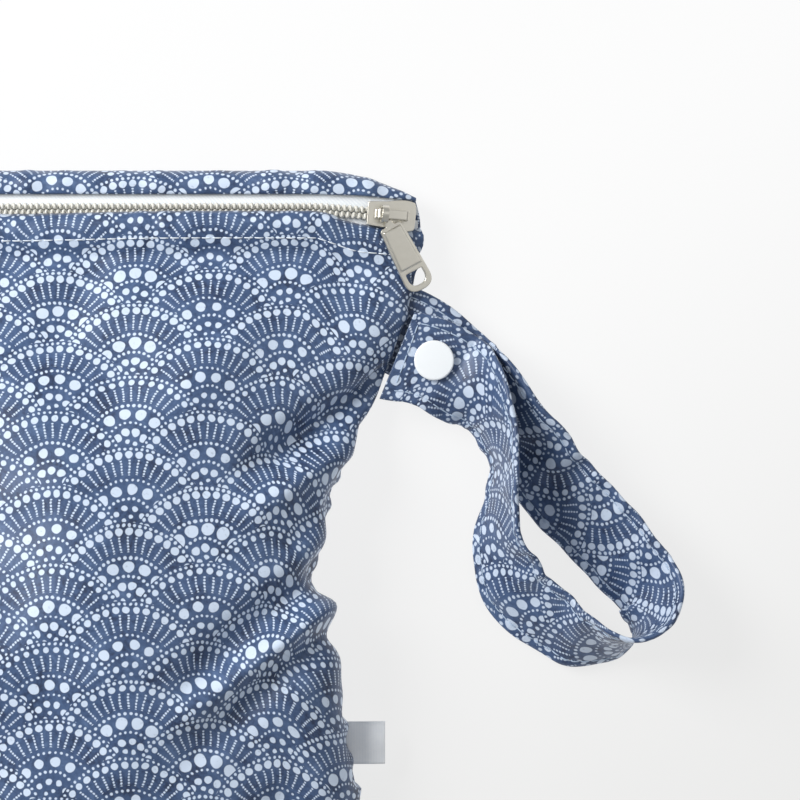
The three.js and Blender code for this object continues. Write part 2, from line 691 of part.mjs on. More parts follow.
const bag = new THREE.Group();
function place(parent, name, geometry, finish) {
  const mesh = new THREE.Mesh(geometry, new THREE.MeshStandardMaterial(finish));
  mesh.name = name;
  parent.add(mesh);
  return mesh;
}

place(bag, 'back_panel', backPanel(), cloth);
place(bag, 'front_panel', frontPanel(), cloth);
place(bag, 'top_band', topBand(), cloth);
place(bag, 'zip_tape_upper', zipTape(1, tapeShownAbove), white);
place(bag, 'zip_tape_lower', zipTape(-1, tapeShownBelow), white);
place(bag, 'zip_coil_upper', zipCoil(1), white);
place(bag, 'zip_coil_lower', zipCoil(-1), white);

// The slider sits on the zip's middle line and is turned to follow it.
const slider = new THREE.Group();
const ahead = 1 / halfWidth;
const slopeY = (zipY(sliderShare + ahead) - zipY(sliderShare - ahead)) / 2;
const slopeZ = (zipZ(sliderShare + ahead) - zipZ(sliderShare - ahead)) / 2;
slider.position.set(sliderX, zipY(sliderShare), zipZ(sliderShare));
slider.rotation.set(0, -Math.atan(slopeZ), Math.atan(slopeY), 'ZYX');
bag.add(slider);
place(slider, 'zip_slider', sliderBody(), metal);
const pull = place(slider, 'zip_pull', pullBody(), metal);
pull.position.set(pullAlong, 0, hingeZ);
pull.rotation.x = pullRestPitch * degrees;

place(bag, 'wrist_strap', band(strapPlaces(), strapWidth, strapThickness), cloth);
const clear = strapThickness / 2 + fitGap;
const snapDiameter = snapDiameterShare * strapReach;
const cap = place(bag, 'snap_cap', disc(snapDiameter, snapCapHeight, 0.7), white);
cap.position.copy(snapPoint).setZ(snapPoint.z + topLayerRise + clear);
const core = place(bag, 'snap_core', disc(snapCoreShare * snapDiameter, snapCoreHeight, 0.3), white);
core.position.copy(snapPoint).setZ(snapPoint.z + clear);
const back = place(bag, 'snap_back', disc(snapDiameter * 0.9, snapCapHeight * 0.8, 0.5), white);
back.rotation.x = Math.PI;
back.position.copy(snapPoint).setZ(snapPoint.z - clear);
place(bag, 'side_label', band(labelPlaces(), labelWidth, labelThickness), white);

export default bag;
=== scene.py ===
# A small zipped wet bag of printed waterproof cloth, laid on its back and filled out by air,
# with its wrist strap snapped into a loop. Lengths are written in millimetres and made in metres.
import math

import bmesh
import bpy
import numpy as np
from mathutils import Matrix, Vector


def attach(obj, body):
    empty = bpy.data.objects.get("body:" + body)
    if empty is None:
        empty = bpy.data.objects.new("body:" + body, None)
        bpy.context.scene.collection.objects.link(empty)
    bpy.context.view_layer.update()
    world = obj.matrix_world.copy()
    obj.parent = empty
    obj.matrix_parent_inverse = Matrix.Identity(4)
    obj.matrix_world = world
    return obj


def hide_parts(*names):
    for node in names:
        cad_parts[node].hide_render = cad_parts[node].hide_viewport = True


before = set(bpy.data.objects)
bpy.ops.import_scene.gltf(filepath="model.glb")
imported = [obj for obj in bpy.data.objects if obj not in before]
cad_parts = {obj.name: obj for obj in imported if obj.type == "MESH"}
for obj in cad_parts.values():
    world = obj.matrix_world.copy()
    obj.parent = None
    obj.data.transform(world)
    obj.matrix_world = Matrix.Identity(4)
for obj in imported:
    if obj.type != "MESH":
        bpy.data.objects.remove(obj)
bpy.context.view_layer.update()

# The picture: a camera straight over the bag's zipped top right corner, a pale floor that glows
# with painted light, soft light from a large source at the upper left, and an even white sky round it.
MM = 0.001
VIEW_MIDDLE = (99.2, 61.5)
VIEW_WIDTH = 232
VIEW_PLANE = 10
CAMERA_HEIGHT = 1200
SENSOR = 36

scene = bpy.context.scene
scene.view_settings.view_transform = "Standard"
camera_data = bpy.data.cameras.new("camera")
camera_data.sensor_width = SENSOR
camera_data.lens = SENSOR * (CAMERA_HEIGHT - VIEW_PLANE) / VIEW_WIDTH
camera = bpy.data.objects.new("camera", camera_data)
camera.location = (VIEW_MIDDLE[0] * MM, VIEW_MIDDLE[1] * MM, CAMERA_HEIGHT * MM)
scene.collection.objects.link(camera)
scene.camera = camera

FLOOR_REACH = 3.0
FLOOR_DROP = 0.0002
floor_mesh = bpy.data.meshes.new("floor")
floor_corners = ((-1, -1), (1, -1), (1, 1), (-1, 1))
floor_mesh.from_pydata([(x * FLOOR_REACH, y * FLOOR_REACH, 0) for x, y in floor_corners],
                       [], [(0, 1, 2, 3)])
floor = bpy.data.objects.new("floor", floor_mesh)
floor.location = (0, 0, -FLOOR_DROP)
scene.collection.objects.link(floor)

world = bpy.data.worlds.new("soft sky")
world.use_nodes = True
background = world.node_tree.nodes["Background"]
background.inputs["Color"].default_value = (0.97, 0.985, 1.0, 1)
background.inputs["Strength"].default_value = 0.40
scene.world = world


def soft_light(name, place, aim, size, power):
    data = bpy.data.lights.new(name, "AREA")
    data.shape = "DISK"
    data.size = size
    data.energy = power
    light = bpy.data.objects.new(name, data)
    light.location = place
    towards = Vector(aim) - Vector(place)
    light.rotation_euler = towards.to_track_quat("-Z", "Y").to_euler()
    scene.collection.objects.link(light)


soft_light("key light", place=(-0.75, 0.5, 0.78), aim=(0.08, 0.04, 0), size=0.7, power=16)
soft_light("fill light", place=(0.9, 0.3, 1.3), aim=(0.1, 0.05, 0), size=1.0, power=1.5)

WAVE_BANDS = 3.2


class Paint:
    """A material's node tree, with short calls for the nodes that its pattern is worked out by."""

    def __init__(self, name, **looks):
        self.material = bpy.data.materials.new(name)
        self.material.use_nodes = True
        self.tree = self.material.node_tree
        self.shader = self.tree.nodes["Principled BSDF"]
        for socket, value in looks.items():
            self.shader.inputs[socket.replace("_", " ").title().replace("Ior", "IOR")].default_value = value

    def node(self, kind, **settings):
        made = self.tree.nodes.new(kind)
        for key, value in settings.items():
            setattr(made, key, value)
        return made

    def put(self, value, socket):
        if isinstance(value, bpy.types.NodeSocket):
            self.tree.links.new(value, socket)
        else:
            socket.default_value = value

    def maths(self, operation, *values):
        made = self.node("ShaderNodeMath", operation=operation)
        for value, socket in zip(values, made.inputs):
            self.put(value, socket)
        return made.outputs[0]

    def times(self, first, second):
        return self.maths("MULTIPLY", first, second)

    def minus(self, first, second):
        return self.maths("SUBTRACT", first, second)

    def length(self, first, second):
        """How far a place is from zero, from its two measures."""
        return self.maths("SQRT", self.maths("ADD", self.times(first, first), self.times(second, second)))

    def repeat(self, value, step):
        """A value brought within half a step of zero by whole steps."""
        return self.maths("WRAP", value, step / 2, -step / 2)

    def share(self, value, low, high, to_low=0.0, to_high=1.0):
        made = self.node("ShaderNodeMapRange", interpolation_type="SMOOTHSTEP")
        for item, socket in zip((value, low, high, to_low, to_high), made.inputs):
            self.put(item, socket)
        return made.outputs[0]

    def mix(self, share, first, second):
        made = self.node("ShaderNodeMix", data_type="RGBA")
        self.put(share, made.inputs[0])
        self.put(first, made.inputs[6])
        self.put(second, made.inputs[7])
        return made.outputs[2]

    def colour(self, share, first, second, socket="Base Color"):
        self.put(self.mix(share, first, second), self.shader.inputs[socket])

    def parts(self, vector):
        """A vector's three measures."""
        made = self.node("ShaderNodeSeparateXYZ")
        self.put(vector, made.inputs[0])
        return made.outputs

    def millimetres(self, place):
        scaled = self.node("ShaderNodeVectorMath", operation="SCALE")
        self.put(place, scaled.inputs[0])
        scaled.inputs["Scale"].default_value = 1 / MM
        return scaled.outputs[0]

    def flat_place(self):
        """Place on the flat cloth, in millimetres, from the piece's flat map."""
        return self.millimetres(self.node("ShaderNodeUVMap", uv_map="flat").outputs[0])

    def solid_place(self):
        """Place in the object's own space, in millimetres."""
        return self.millimetres(self.node("ShaderNodeTexCoord").outputs["Object"])

    def noise(self, place, size, detail=2.0, roughness=0.5):
        """Noise whose lumps are about size millimetres across."""
        made = self.node("ShaderNodeTexNoise")
        self.put(place, made.inputs["Vector"])
        made.inputs["Scale"].default_value = 1 / size
        made.inputs["Detail"].default_value = detail
        made.inputs["Roughness"].default_value = roughness
        return made.outputs["Fac"]

    def bands(self, place, pitch, direction, distortion, detail_scale=1.0):
        """Bands a pitch apart. At scale 1 the texture makes WAVE_BANDS of them in a millimetre."""
        made = self.node("ShaderNodeTexWave", bands_direction=direction)
        self.put(place, made.inputs["Vector"])
        made.inputs["Scale"].default_value = 1 / pitch / WAVE_BANDS
        made.inputs["Distortion"].default_value = distortion
        made.inputs["Detail Scale"].default_value = detail_scale
        return made.outputs["Fac"]

    def bump(self, height, strength, distance):
        """Relief from a height, whose full step is distance millimetres."""
        made = self.node("ShaderNodeBump")
        made.inputs["Strength"].default_value = strength
        made.inputs["Distance"].default_value = distance * MM
        self.put(height, made.inputs["Height"])
        self.put(made.outputs[0], self.shader.inputs["Normal"])

    def weave(self, place, direction, pitch, distortion, rib_share, cloud_size, tones, dark, light, relief):
        """The look of a woven tape: ribs and a faint cloud, between a dark and a light tone."""
        rib = self.bands(place, pitch, direction, distortion)
        cloud = self.times(self.noise(place, cloud_size, 3.0), 1 - rib_share)
        tone = self.maths("MULTIPLY_ADD", rib, rib_share, cloud)
        self.colour(self.share(tone, *tones), dark, light)
        self.bump(rib, 0.3, relief)


# The floor glows with painted light so that shadows on it stay faint. Its glow and colour fade from the
# upper left to the lower right as painted light falloff.
floor_paint = Paint("pale floor", roughness=0.8)
FLOOR_SLOPE_X = 0.45
FLOOR_SLOPE_Y = -1.0
FLOOR_FALLOFF_RANGE = (-90.0, 190.0)
floor_x, floor_y, _ = floor_paint.parts(floor_paint.solid_place())
floor_slope = floor_paint.maths("MULTIPLY_ADD", floor_x, FLOOR_SLOPE_X,
                                floor_paint.times(floor_y, FLOOR_SLOPE_Y))
painted_floor_falloff = floor_paint.share(floor_slope, *FLOOR_FALLOFF_RANGE)
floor_paint.colour(painted_floor_falloff, (0.11, 0.11, 0.11, 1), (0.10, 0.10, 0.099, 1))
floor_paint.colour(painted_floor_falloff, (1, 1, 1, 1), (0.86, 0.86, 0.855, 1), "Emission Color")
floor_paint.shader.inputs["Emission Strength"].default_value = 0.84
floor_mesh.materials.append(floor_paint.material)

# Printed cloth: a knitted polyester face, dyed a mottled denim blue and printed in white dots
# with a plain fish-scale ornament, on a waterproof film.
SCALE_RADIUS = 22
DOT_EDGE = 0.14
DOT_SWELL = (0.8, 1.12)
WANDER_SIZE = 5
WANDER = 1.1
CLOUD_SIZE = 9.0
FLECK_SIZE = 1.1
KNIT_PITCH = 0.55
SPOKES = 44
SPOKE_PITCH = 0.85
SPOKE_DOT = 0.62
SPOKE_BAND = (0.62, 0.82)
DENIM_DARK = (0.016, 0.031, 0.080, 1)
DENIM_MID = (0.046, 0.088, 0.192, 1)
DENIM_LIGHT = (0.094, 0.158, 0.300, 1)
DOT_WHITE = (0.63, 0.73, 0.88, 1)
# Rings of dots inside one scale: radius as a share of the scale's, and the dots' pitch and
# diameter in millimetres.
DOT_RINGS = (
    {"radius": 0.965, "pitch": 1.6, "dot": 0.95},
    {"radius": 0.885, "pitch": 2.9, "dot": 2.0},
    {"radius": 0.555, "pitch": 1.6, "dot": 0.9},
    {"radius": 0.435, "pitch": 4.5, "dot": 3.3},
    {"radius": 0.315, "pitch": 1.5, "dot": 0.8},
    {"radius": 0.19, "pitch": 2.9, "dot": 2.1},
    {"radius": 0.07, "pitch": 2.4, "dot": 1.3},
)


def printed_cloth(name, painted_shade):
    paint = Paint(name, roughness=0.46, sheen_weight=0.12, sheen_roughness=0.4,
                  specular_ior_level=0.55)
    flat = paint.flat_place()
    wander = paint.node("ShaderNodeTexNoise")
    wander.inputs["Scale"].default_value = 1 / WANDER_SIZE
    paint.put(flat, wander.inputs["Vector"])
    centred = paint.node("ShaderNodeVectorMath", operation="SUBTRACT")
    centred.inputs[1].default_value = (0.5, 0.5, 0.5)
    paint.put(wander.outputs["Color"], centred.inputs[0])
    warp = paint.node("ShaderNodeVectorMath", operation="MULTIPLY_ADD")
    warp.inputs[1].default_value = (WANDER, WANDER, 0)
    paint.put(centred.outputs[0], warp.inputs[0])
    paint.put(flat, warp.inputs[2])
    x, y, _ = paint.parts(warp.outputs[0])

    half = SCALE_RADIUS / 2
    found = []
    for step in (-1, 0):
        row = paint.maths("ADD", paint.maths("FLOOR", paint.maths("DIVIDE", y, half)), step)
        start = paint.times(paint.maths("FLOORED_MODULO", row, 2), SCALE_RADIUS)
        across = paint.maths("DIVIDE", paint.minus(x, start), 2 * SCALE_RADIUS)
        column = paint.maths("ROUND", across)
        dx = paint.times(paint.minus(across, column), 2 * SCALE_RADIUS)
        dy = paint.minus(y, paint.times(row, half))
        found.append((dx, dy, paint.length(dx, dy), row, column))
    front = paint.maths("LESS_THAN", found[0][2], SCALE_RADIUS)
    dx, dy, away, row, column = (
        paint.maths("MULTIPLY_ADD", paint.minus(near, far), front, far)
        for near, far in zip(*found)
    )
    turn = paint.maths("ARCTAN2", dx, dy)
    cell = paint.node("ShaderNodeCombineXYZ")
    paint.put(row, cell.inputs[0])
    paint.put(column, cell.inputs[1])
    chance = paint.node("ShaderNodeTexWhiteNoise", noise_dimensions="3D")
    paint.put(cell.outputs[0], chance.inputs["Vector"])
    chances = paint.node("ShaderNodeSeparateColor")
    paint.put(chance.outputs["Color"], chances.inputs[0])

    dots = 0.0
    for index, ring in enumerate(DOT_RINGS):
        radius = ring["radius"] * SCALE_RADIUS
        step = 2 * math.pi / round(2 * math.pi * radius / ring["pitch"])
        swell = paint.share(chances.outputs[index % 3], 0.0, 1.0, *DOT_SWELL)
        shifted = paint.maths("MULTIPLY_ADD", chances.outputs[(index + 1) % 3], step, turn)
        along = paint.times(paint.repeat(shifted, step), radius)
        reach = paint.length(along, paint.minus(away, radius))
        edge = paint.times(swell, ring["dot"] / 2)
        dot = paint.share(paint.minus(reach, edge), -DOT_EDGE, DOT_EDGE, 1.0, 0.0)
        dots = paint.maths("MAXIMUM", dots, dot)

    beside = paint.times(paint.repeat(turn, 2 * math.pi / SPOKES), away)
    reach = paint.length(beside, paint.repeat(away, SPOKE_PITCH))
    spoke = paint.share(reach, SPOKE_DOT / 2 - DOT_EDGE, SPOKE_DOT / 2 + DOT_EDGE, 1.0, 0.0)
    low, high = (share * SCALE_RADIUS for share in SPOKE_BAND)
    within = paint.times(paint.maths("GREATER_THAN", away, low), paint.maths("LESS_THAN", away, high))
    dots = paint.maths("MAXIMUM", dots, paint.times(spoke, within))

    cloud = paint.noise(flat, CLOUD_SIZE, 4.0, 0.62)
    fleck = paint.noise(flat, FLECK_SIZE, 3.0, 0.6)
    tone = paint.maths("MULTIPLY_ADD", fleck, 0.42, paint.times(cloud, 0.78))
    dyed = paint.mix(paint.share(tone, 0.42, 0.62), DENIM_DARK, DENIM_MID)
    dyed = paint.mix(paint.share(tone, 0.58, 0.86), dyed, DENIM_LIGHT)
    worn = paint.share(fleck, 0.25, 0.45, 0.75, 1.0)
    printed = paint.mix(paint.times(dots, worn), dyed, DOT_WHITE)
    # Painted shade: the given share of the printed colour is mixed towards the darkest denim, so a copy of
    # the cloth can be darkened where it faces away from the light.
    paint.colour(painted_shade, printed, DENIM_DARK)

    courses = paint.bands(flat, KNIT_PITCH, "Y", 1.2, 2.0)
    paint.bump(paint.maths("MULTIPLY_ADD", courses, 0.35, fleck), 0.2, 0.1)
    return paint.material


body_print = printed_cloth("printed cloth", 0.0)

# The bag's shape, filled out by air: the side seams are drawn in most at the waist, and the
# front cloth rises from them, rolls past upright over them and falls to its hem at the zip.
BAG_WIDTH = 210
BAG_HEIGHT = 256.4
CLOTH = 1.2
SEAM_GAP = 0.5
FIT_GAP = 0.3
CORNER_RIM = 5.5
SIDE_RIM_RISE = 5.5
BOTTOM_RIM_RISE = 4
TOP_RIM_RISE = 0.8
TOP_CORNER_DROP = 8
BOTTOM_PULL = 8
BOTTOM_CORNER_RISE = 7
CORNER_SHARE = 0.28
ZIP_BELOW_TOP = 11.5
ZIP_END_DROP = 2.3
ZIP_RISE = 4.2
TAPE = 0.9
TAPE_SHOWN_ABOVE = 4.4
TAPE_SHOWN_BELOW = 2.5
SLIDER_FROM_SIDE = 9
SLIDER_LENGTH = 14
SLIDER_WIDE = 9
SLIDER_GAP = 0.4
STRAP_WIDTH = 26.4
STRAP = 1.6
STRAP_SHARE = 0.84
LABEL_WIDTH = 12.5
LABEL = 1
LABEL_SHARE = 0.345
SEAM_OPENING = 6
SIDE_ROWS = (
    # height, right, left, roll
    (0, 0, 0, 0),
    (0.1, 0.03, 0.02, 0),
    (0.2, 0.064, 0.05, 3),
    (0.29, 0.088, 0.08, 6),
    (0.37, 0.107, 0.095, 10),
    (0.46, 0.128, 0.104, 14),
    (0.53, 0.15, 0.105, 16),
    (0.58, 0.142, 0.104, 15),
    (0.65, 0.122, 0.096, 11),
    (0.7, 0.104, 0.085, 5),
    (0.75, 0.066, 0.066, 0),
    (0.8, 0.044, 0.046, 0),
    (0.86, 0.018, 0.026, 0),
    (0.95, 0, 0.005, 0),
    (0.975, 0, 0.002, 0),
    (1, 0.007, 0.007, 0),
)
HALF_WIDTH = BAG_WIDTH / 2
HALF_HEIGHT = BAG_HEIGHT / 2


def smooth(low, high, value):
    share = np.clip((value - low) / (high - low), 0, 1)
    return share * share * (3 - 2 * share)


def between(first, second, share):
    return first + (second - first) * share


def eased(first, first_slope, second, second_slope, t):
    """A cubic from one value to another, with its slope at each end."""
    return (first * (2 * t**3 - 3 * t**2 + 1) + first_slope * (t**3 - 2 * t**2 + t)
            + second * (3 * t**2 - 2 * t**3) + second_slope * (t**3 - t**2))


def column_at(rows, column, at):
    """A column of a table as a smooth curve through its rows, over their first column."""
    table = np.array(rows, float)
    keys = table[:, 0]
    values = table[:, column]
    slopes = np.empty(len(keys))
    slopes[1:-1] = (values[2:] - values[:-2]) / (keys[2:] - keys[:-2])
    slopes[0] = (values[1] - values[0]) / (keys[1] - keys[0])
    slopes[-1] = (values[-1] - values[-2]) / (keys[-1] - keys[-2])
    row = np.clip(np.searchsorted(keys, at, side="left") - 1, 0, len(keys) - 2)
    span = keys[row + 1] - keys[row]
    t = np.clip((at - keys[row]) / span, 0, 1)
    return eased(values[row], slopes[row] * span, values[row + 1], slopes[row + 1] * span, t)


def corner_turn(across):
    return np.clip((np.abs(across) - 1 + CORNER_SHARE) / CORNER_SHARE, 0, 1)


def top_y(across):
    return HALF_HEIGHT - TOP_CORNER_DROP * corner_turn(across) ** 2


def bottom_y(across):
    return (-HALF_HEIGHT + BOTTOM_PULL * (1 - across * across)
            + BOTTOM_CORNER_RISE * corner_turn(across) ** 3)


def up_at(across, y):
    return (y - bottom_y(across)) / (top_y(across) - bottom_y(across))


def side_x(across, up):
    right = HALF_WIDTH - BAG_WIDTH * column_at(SIDE_ROWS, 1, up)
    left = HALF_WIDTH - BAG_WIDTH * column_at(SIDE_ROWS, 2, up)
    return np.where(across < 0, left, right)


SEWN = ((STRAP_SHARE, STRAP_WIDTH, STRAP), (LABEL_SHARE, LABEL_WIDTH, LABEL))


def held_at(share, width, across, up):
    away = np.abs(up - share) * BAG_HEIGHT / (width / 2 + SEAM_OPENING)
    return smooth(1.4, 1, away) * smooth(0.8, 0.92, across)


def side_rise(up):
    return SIDE_RIM_RISE * np.sin(math.pi * np.clip(up, 0, 1)) ** 2


def rim_z(across, up):
    rise = side_rise(up)
    for share, width, _ in SEWN:
        rise = between(rise, side_rise(share), held_at(share, width, across, up))
    return (CORNER_RIM + rise * np.abs(across) ** 6
            + BOTTOM_RIM_RISE * (1 - across * across) * (1 - up) ** 6
            + TOP_RIM_RISE * (1 - across * across) * np.clip(up, 0, 2) ** 6)


def half_seam_gap(across, up):
    half = SEAM_GAP / 2
    for share, width, thickness in SEWN:
        half = between(half, thickness / 2 + SEAM_GAP, held_at(share, width, across, up))
    return half


def zip_y(across):
    return HALF_HEIGHT - ZIP_BELOW_TOP - ZIP_END_DROP * corner_turn(across) ** 1.05


def zip_z(across):
    return CORNER_RIM + FIT_GAP + ZIP_RISE * (1 - np.abs(across) ** 8)


SLIDER_SHARE = (HALF_WIDTH - SLIDER_FROM_SIDE) / HALF_WIDTH


def beside_zip(across, shown):
    pushed = SLIDER_WIDE / 2 + SLIDER_GAP - shown
    away = (SLIDER_SHARE - across) * HALF_WIDTH
    return shown + pushed * smooth(SLIDER_LENGTH * 1.5, SLIDER_LENGTH * 0.55, away)


def ripple(x, y, length, seed, lean=0.0, stretch=1.0):
    """Smooth chance relief, about 1 high, whose waves are about length long."""
    chance = np.random.default_rng(seed)
    total = np.zeros_like(x)
    waves = 14
    for _ in range(waves):
        angle = lean + chance.normal(0, 1.0 / stretch)
        number = 2 * math.pi / (length * chance.uniform(0.7, 1.5))
        total += np.cos(number * (x * math.cos(angle) + y * math.sin(angle))
                        + chance.uniform(0, 2 * math.pi))
    return total / math.sqrt(waves / 2)


def unit(vectors):
    return vectors / np.maximum(np.linalg.norm(vectors, axis=-1, keepdims=True), 1e-9)


def square_to(points):
    """Unit normals of a grid of points, out of the face that its rows and columns turn round."""
    return unit(np.cross(np.gradient(points, axis=1), np.gradient(points, axis=0)))


def arc_lengths(points, axis=0):
    steps = np.linalg.norm(np.diff(points, axis=axis), axis=-1)
    return np.insert(np.cumsum(steps, axis=axis), 0, 0, axis=axis)


def points_at(at, lengths, points):
    return np.stack([np.interp(at, lengths, points[:, axis]) for axis in range(3)], -1)


def quarter_round(share):
    """The rise of a folded edge, from its rim to full at a share of 1."""
    return np.sqrt(1 - (1 - np.clip(share, 0, 1)) ** 2)


def finish_piece(name, mesh, body, nodes, material):
    piece = bpy.data.objects.new(name, mesh)
    scene.collection.objects.link(piece)
    mesh.materials.append(material)
    mesh.shade_smooth()
    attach(piece, body)
    if nodes:
        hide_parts(*nodes)
    return piece


def cloth_mesh(name, outer, inner, flat):
    """A closed sheet from the grids of its two faces, with its flat map in metres."""
    rows, columns = outer.shape[:2]
    count = rows * columns
    points = np.concatenate([outer.reshape(-1, 3), inner.reshape(-1, 3)]) * MM
    index = np.arange(count).reshape(rows, columns)
    quads = np.stack([index[:-1, :-1], index[:-1, 1:], index[1:, 1:], index[1:, :-1]], -1)
    quads = quads.reshape(-1, 4)
    rim = np.concatenate([index[0, :-1], index[:-1, -1], index[-1, :0:-1], index[:0:-1, 0]])
    ahead = np.roll(rim, -1)
    walls = np.stack([rim, rim + count, ahead + count, ahead], -1)
    faces = np.concatenate([quads, quads[:, ::-1] + count, walls])
    mesh = bpy.data.meshes.new(name)
    mesh.from_pydata(points.tolist(), [], faces.tolist())
    layer = mesh.uv_layers.new(name="flat")
    both = np.concatenate([flat.reshape(-1, 2), flat.reshape(-1, 2)]) * MM
    corners = np.empty(len(mesh.loops), int)
    mesh.loops.foreach_get("vertex_index", corners)
    layer.data.foreach_set("uv", both[corners].ravel())
    mesh.validate()
    return mesh


# Back panel: one piece of the printed cloth, flat where it lies and turned up all round to
# the side and bottom seams and to the fold along the top.
BACK_COLUMNS = 150
BACK_ROWS = 170
BACK_CROWDING = 0.22
BACK_FLAT_SHARE = 0.8
BACK_TURN_UP = 1.7
BACK_WAVE = 0.5
BACK_WAVE_LENGTH = 17
BACK_WAVE_MOST = 0.8
BACK_SLACK = 1.05


def back_points():
    def crowded(count):
        t = np.linspace(-1, 1, count)
        return t * (1 + BACK_CROWDING - BACK_CROWDING * t * t)

    def lift(away):
        return np.clip((away - BACK_FLAT_SHARE) / (1 - BACK_FLAT_SHARE), 0, 1) ** BACK_TURN_UP

    across, lengthways = np.meshgrid(crowded(BACK_COLUMNS), crowded(BACK_ROWS))
    up = (lengthways + 1) / 2
    edge = 1 - (1 - lift(np.abs(across))) * (1 - lift(np.abs(lengthways)))
    z = (rim_z(across, up) - half_seam_gap(across, up)) * edge
    x = across * side_x(across, up)
    y = between(bottom_y(across), top_y(across), up)
    return np.stack([x, y, z], -1), edge


back_outer, back_edge = back_points()
back_out = -square_to(back_outer)
back_wave = BACK_WAVE * ripple(back_outer[..., 0], back_outer[..., 1], BACK_WAVE_LENGTH, 5)
back_wave *= smooth(0.02, 0.5, back_edge) * smooth(1.0, 0.85, back_edge)
back_outer = back_outer - back_out * np.clip(np.abs(back_wave), 0, BACK_WAVE_MOST)[..., None]
back_inner = back_outer - back_out * CLOTH
back_flat = np.stack([back_outer[..., 0] * BACK_SLACK, back_outer[..., 1]], -1)
back_mesh = cloth_mesh("back_cloth", back_inner, back_outer, back_flat)
back_cloth = finish_piece("back_cloth", back_mesh, "bag", ["back_panel"], body_print)

# Front panel: the same cloth over the filling, sewn in at the sides and the bottom, with a
# doubled hem along the zip. The folds start at the strap and at the drawn-in waist.
FOLD_ROWS = (
    # x1, y1, x2, y2, depth, breadth
    (0.74, 0.09, 0.32, -0.18, -0.026, 0.03),
    (0.73, 0.02, 0.3, -0.26, 0.018, 0.02),
    (0.74, -0.05, 0.36, -0.33, -0.017, 0.02),
    (0.92, 0.52, 0.48, 0.3, -0.03, 0.022),
    (0.88, 0.42, 0.5, 0.2, 0.018, 0.02),
    (0.82, 0.28, 0.56, 0.1, -0.009, 0.02),
    (0.62, -0.42, 0.2, -0.62, -0.014, 0.03),
    (0.5, 0.62, 0.2, 0.36, 0.008, 0.035),
    (-0.76, 0.12, -0.4, 0.02, -0.014, 0.026),
    (0.1, 0.78, -0.05, 0.55, -0.007, 0.03),
)
PUFF = 46
PUFF_FOOT = 3.2
PUFF_ROUND = 0.6
PUFF_HEAD = 3.4
HEM_UP = 0.95
HEM_STITCH = 7.9
HEM_OVER_COIL = 2.0
HEM_LEFT_SHARE = 0.55
HEM_OPENING_SHARE = 0.4
HEM_ROLL = 2.6
HEM_FULLNESS = 1.1
HEM_PUCKER = 0.12
STITCH_DIP = 0.35
STITCH_DIP_WIDTH = 0.8
SEAM_PUCKER = 0.55
SEAM_PUCKER_SHARE = 0.05
BILLOW = 0.75
CREASE = 0.13
FRONT_COLUMNS = 200
FRONT_ROWS = 210
ROW_CROWDING = 1.35


def fold_depth(x, y):
    depth = np.zeros_like(x)
    for x1, y1, x2, y2, deep, broad in FOLD_ROWS:
        start = np.array((x1 * HALF_WIDTH, y1 * HALF_HEIGHT))
        along = np.array((x2 * HALF_WIDTH, y2 * HALF_HEIGHT)) - start
        share = ((x - start[0]) * along[0] + (y - start[1]) * along[1]) / (along @ along)
        held = np.clip(share, 0, 1)
        away = np.hypot(x - start[0] - along[0] * held, y - start[1] - along[1] * held)
        away = away / (broad * BAG_WIDTH)
        depth += deep * BAG_WIDTH * np.exp(-away * away) * smooth(1.15, 0.5, share)
    return depth


def front_face(a, b):
    w = b**ROW_CROWDING
    roll = column_at(SIDE_ROWS, 3, w * HEM_UP)
    end = np.radians(90 + roll)
    angle = (2 * a - 1) * end
    free = np.sin(angle) / np.sin(end)
    across = np.clip(free, -1, 1)
    covered = between(HEM_LEFT_SHARE, 1, smooth(-0.15, 0.35, across)) * smooth(0.86, 0.70, across)
    over = HEM_OVER_COIL * covered
    shown = between(TAPE_SHOWN_BELOW, beside_zip(across, TAPE_SHOWN_BELOW), HEM_OPENING_SHARE)
    hem_y = zip_y(across) - shown + over
    y = between(bottom_y(across), hem_y, w)
    up = up_at(across, y)
    x = free * side_x(across, up)
    rim = rim_z(across, up) + half_seam_gap(across, up)
    hem = zip_z(across) + TAPE + FIT_GAP + CLOTH + over * smooth(6, 2, hem_y - y)
    hem_share = smooth(14, 6, hem_y - y)
    dome = PUFF * (1 - (1 - w) ** PUFF_FOOT) ** PUFF_ROUND * (1 - w**PUFF_HEAD)
    rise = (np.cos(angle) - np.cos(end)) / (1 - np.cos(end))
    return np.stack([x, y, between(rim, hem, hem_share) + dome * rise], -1), hem_y - y


front_a, front_b = np.meshgrid(np.linspace(0, 1, FRONT_COLUMNS), np.linspace(0, 1, FRONT_ROWS))
front_outer, below_hem = front_face(front_a, front_b)
front_out = square_to(front_outer)
front_x, front_y = front_outer[..., 0], front_outer[..., 1]
front_along = arc_lengths(front_outer)
side_near = np.minimum(front_a, 1 - front_a)
seam_share = smooth(0, 0.06, np.minimum(side_near, front_b)) * smooth(0, 0.12, 1 - front_b)
edge_share = smooth(0, 0.03, np.minimum(side_near, 1 - front_b))
pucker_share = np.exp(-((side_near / SEAM_PUCKER_SHARE) ** 2)) * smooth(0, 0.012, side_near)
hem_share = smooth(16, 5, below_hem)
hem_full = smooth(HEM_STITCH + 0.6, HEM_STITCH - 4, below_hem)
relief = fold_depth(front_x, front_y) * seam_share
relief += SEAM_PUCKER * pucker_share * ripple(front_along, front_a * 8, 9, 11, 0.0, 6.0)
relief += BILLOW * ripple(front_x, front_y, 60, 21) * seam_share
relief += CREASE * ripple(front_x, front_y, 19, 22) * edge_share
relief -= STITCH_DIP * np.exp(-(((below_hem - HEM_STITCH) / STITCH_DIP_WIDTH) ** 2))
relief += HEM_FULLNESS * quarter_round(below_hem / HEM_ROLL) * hem_full
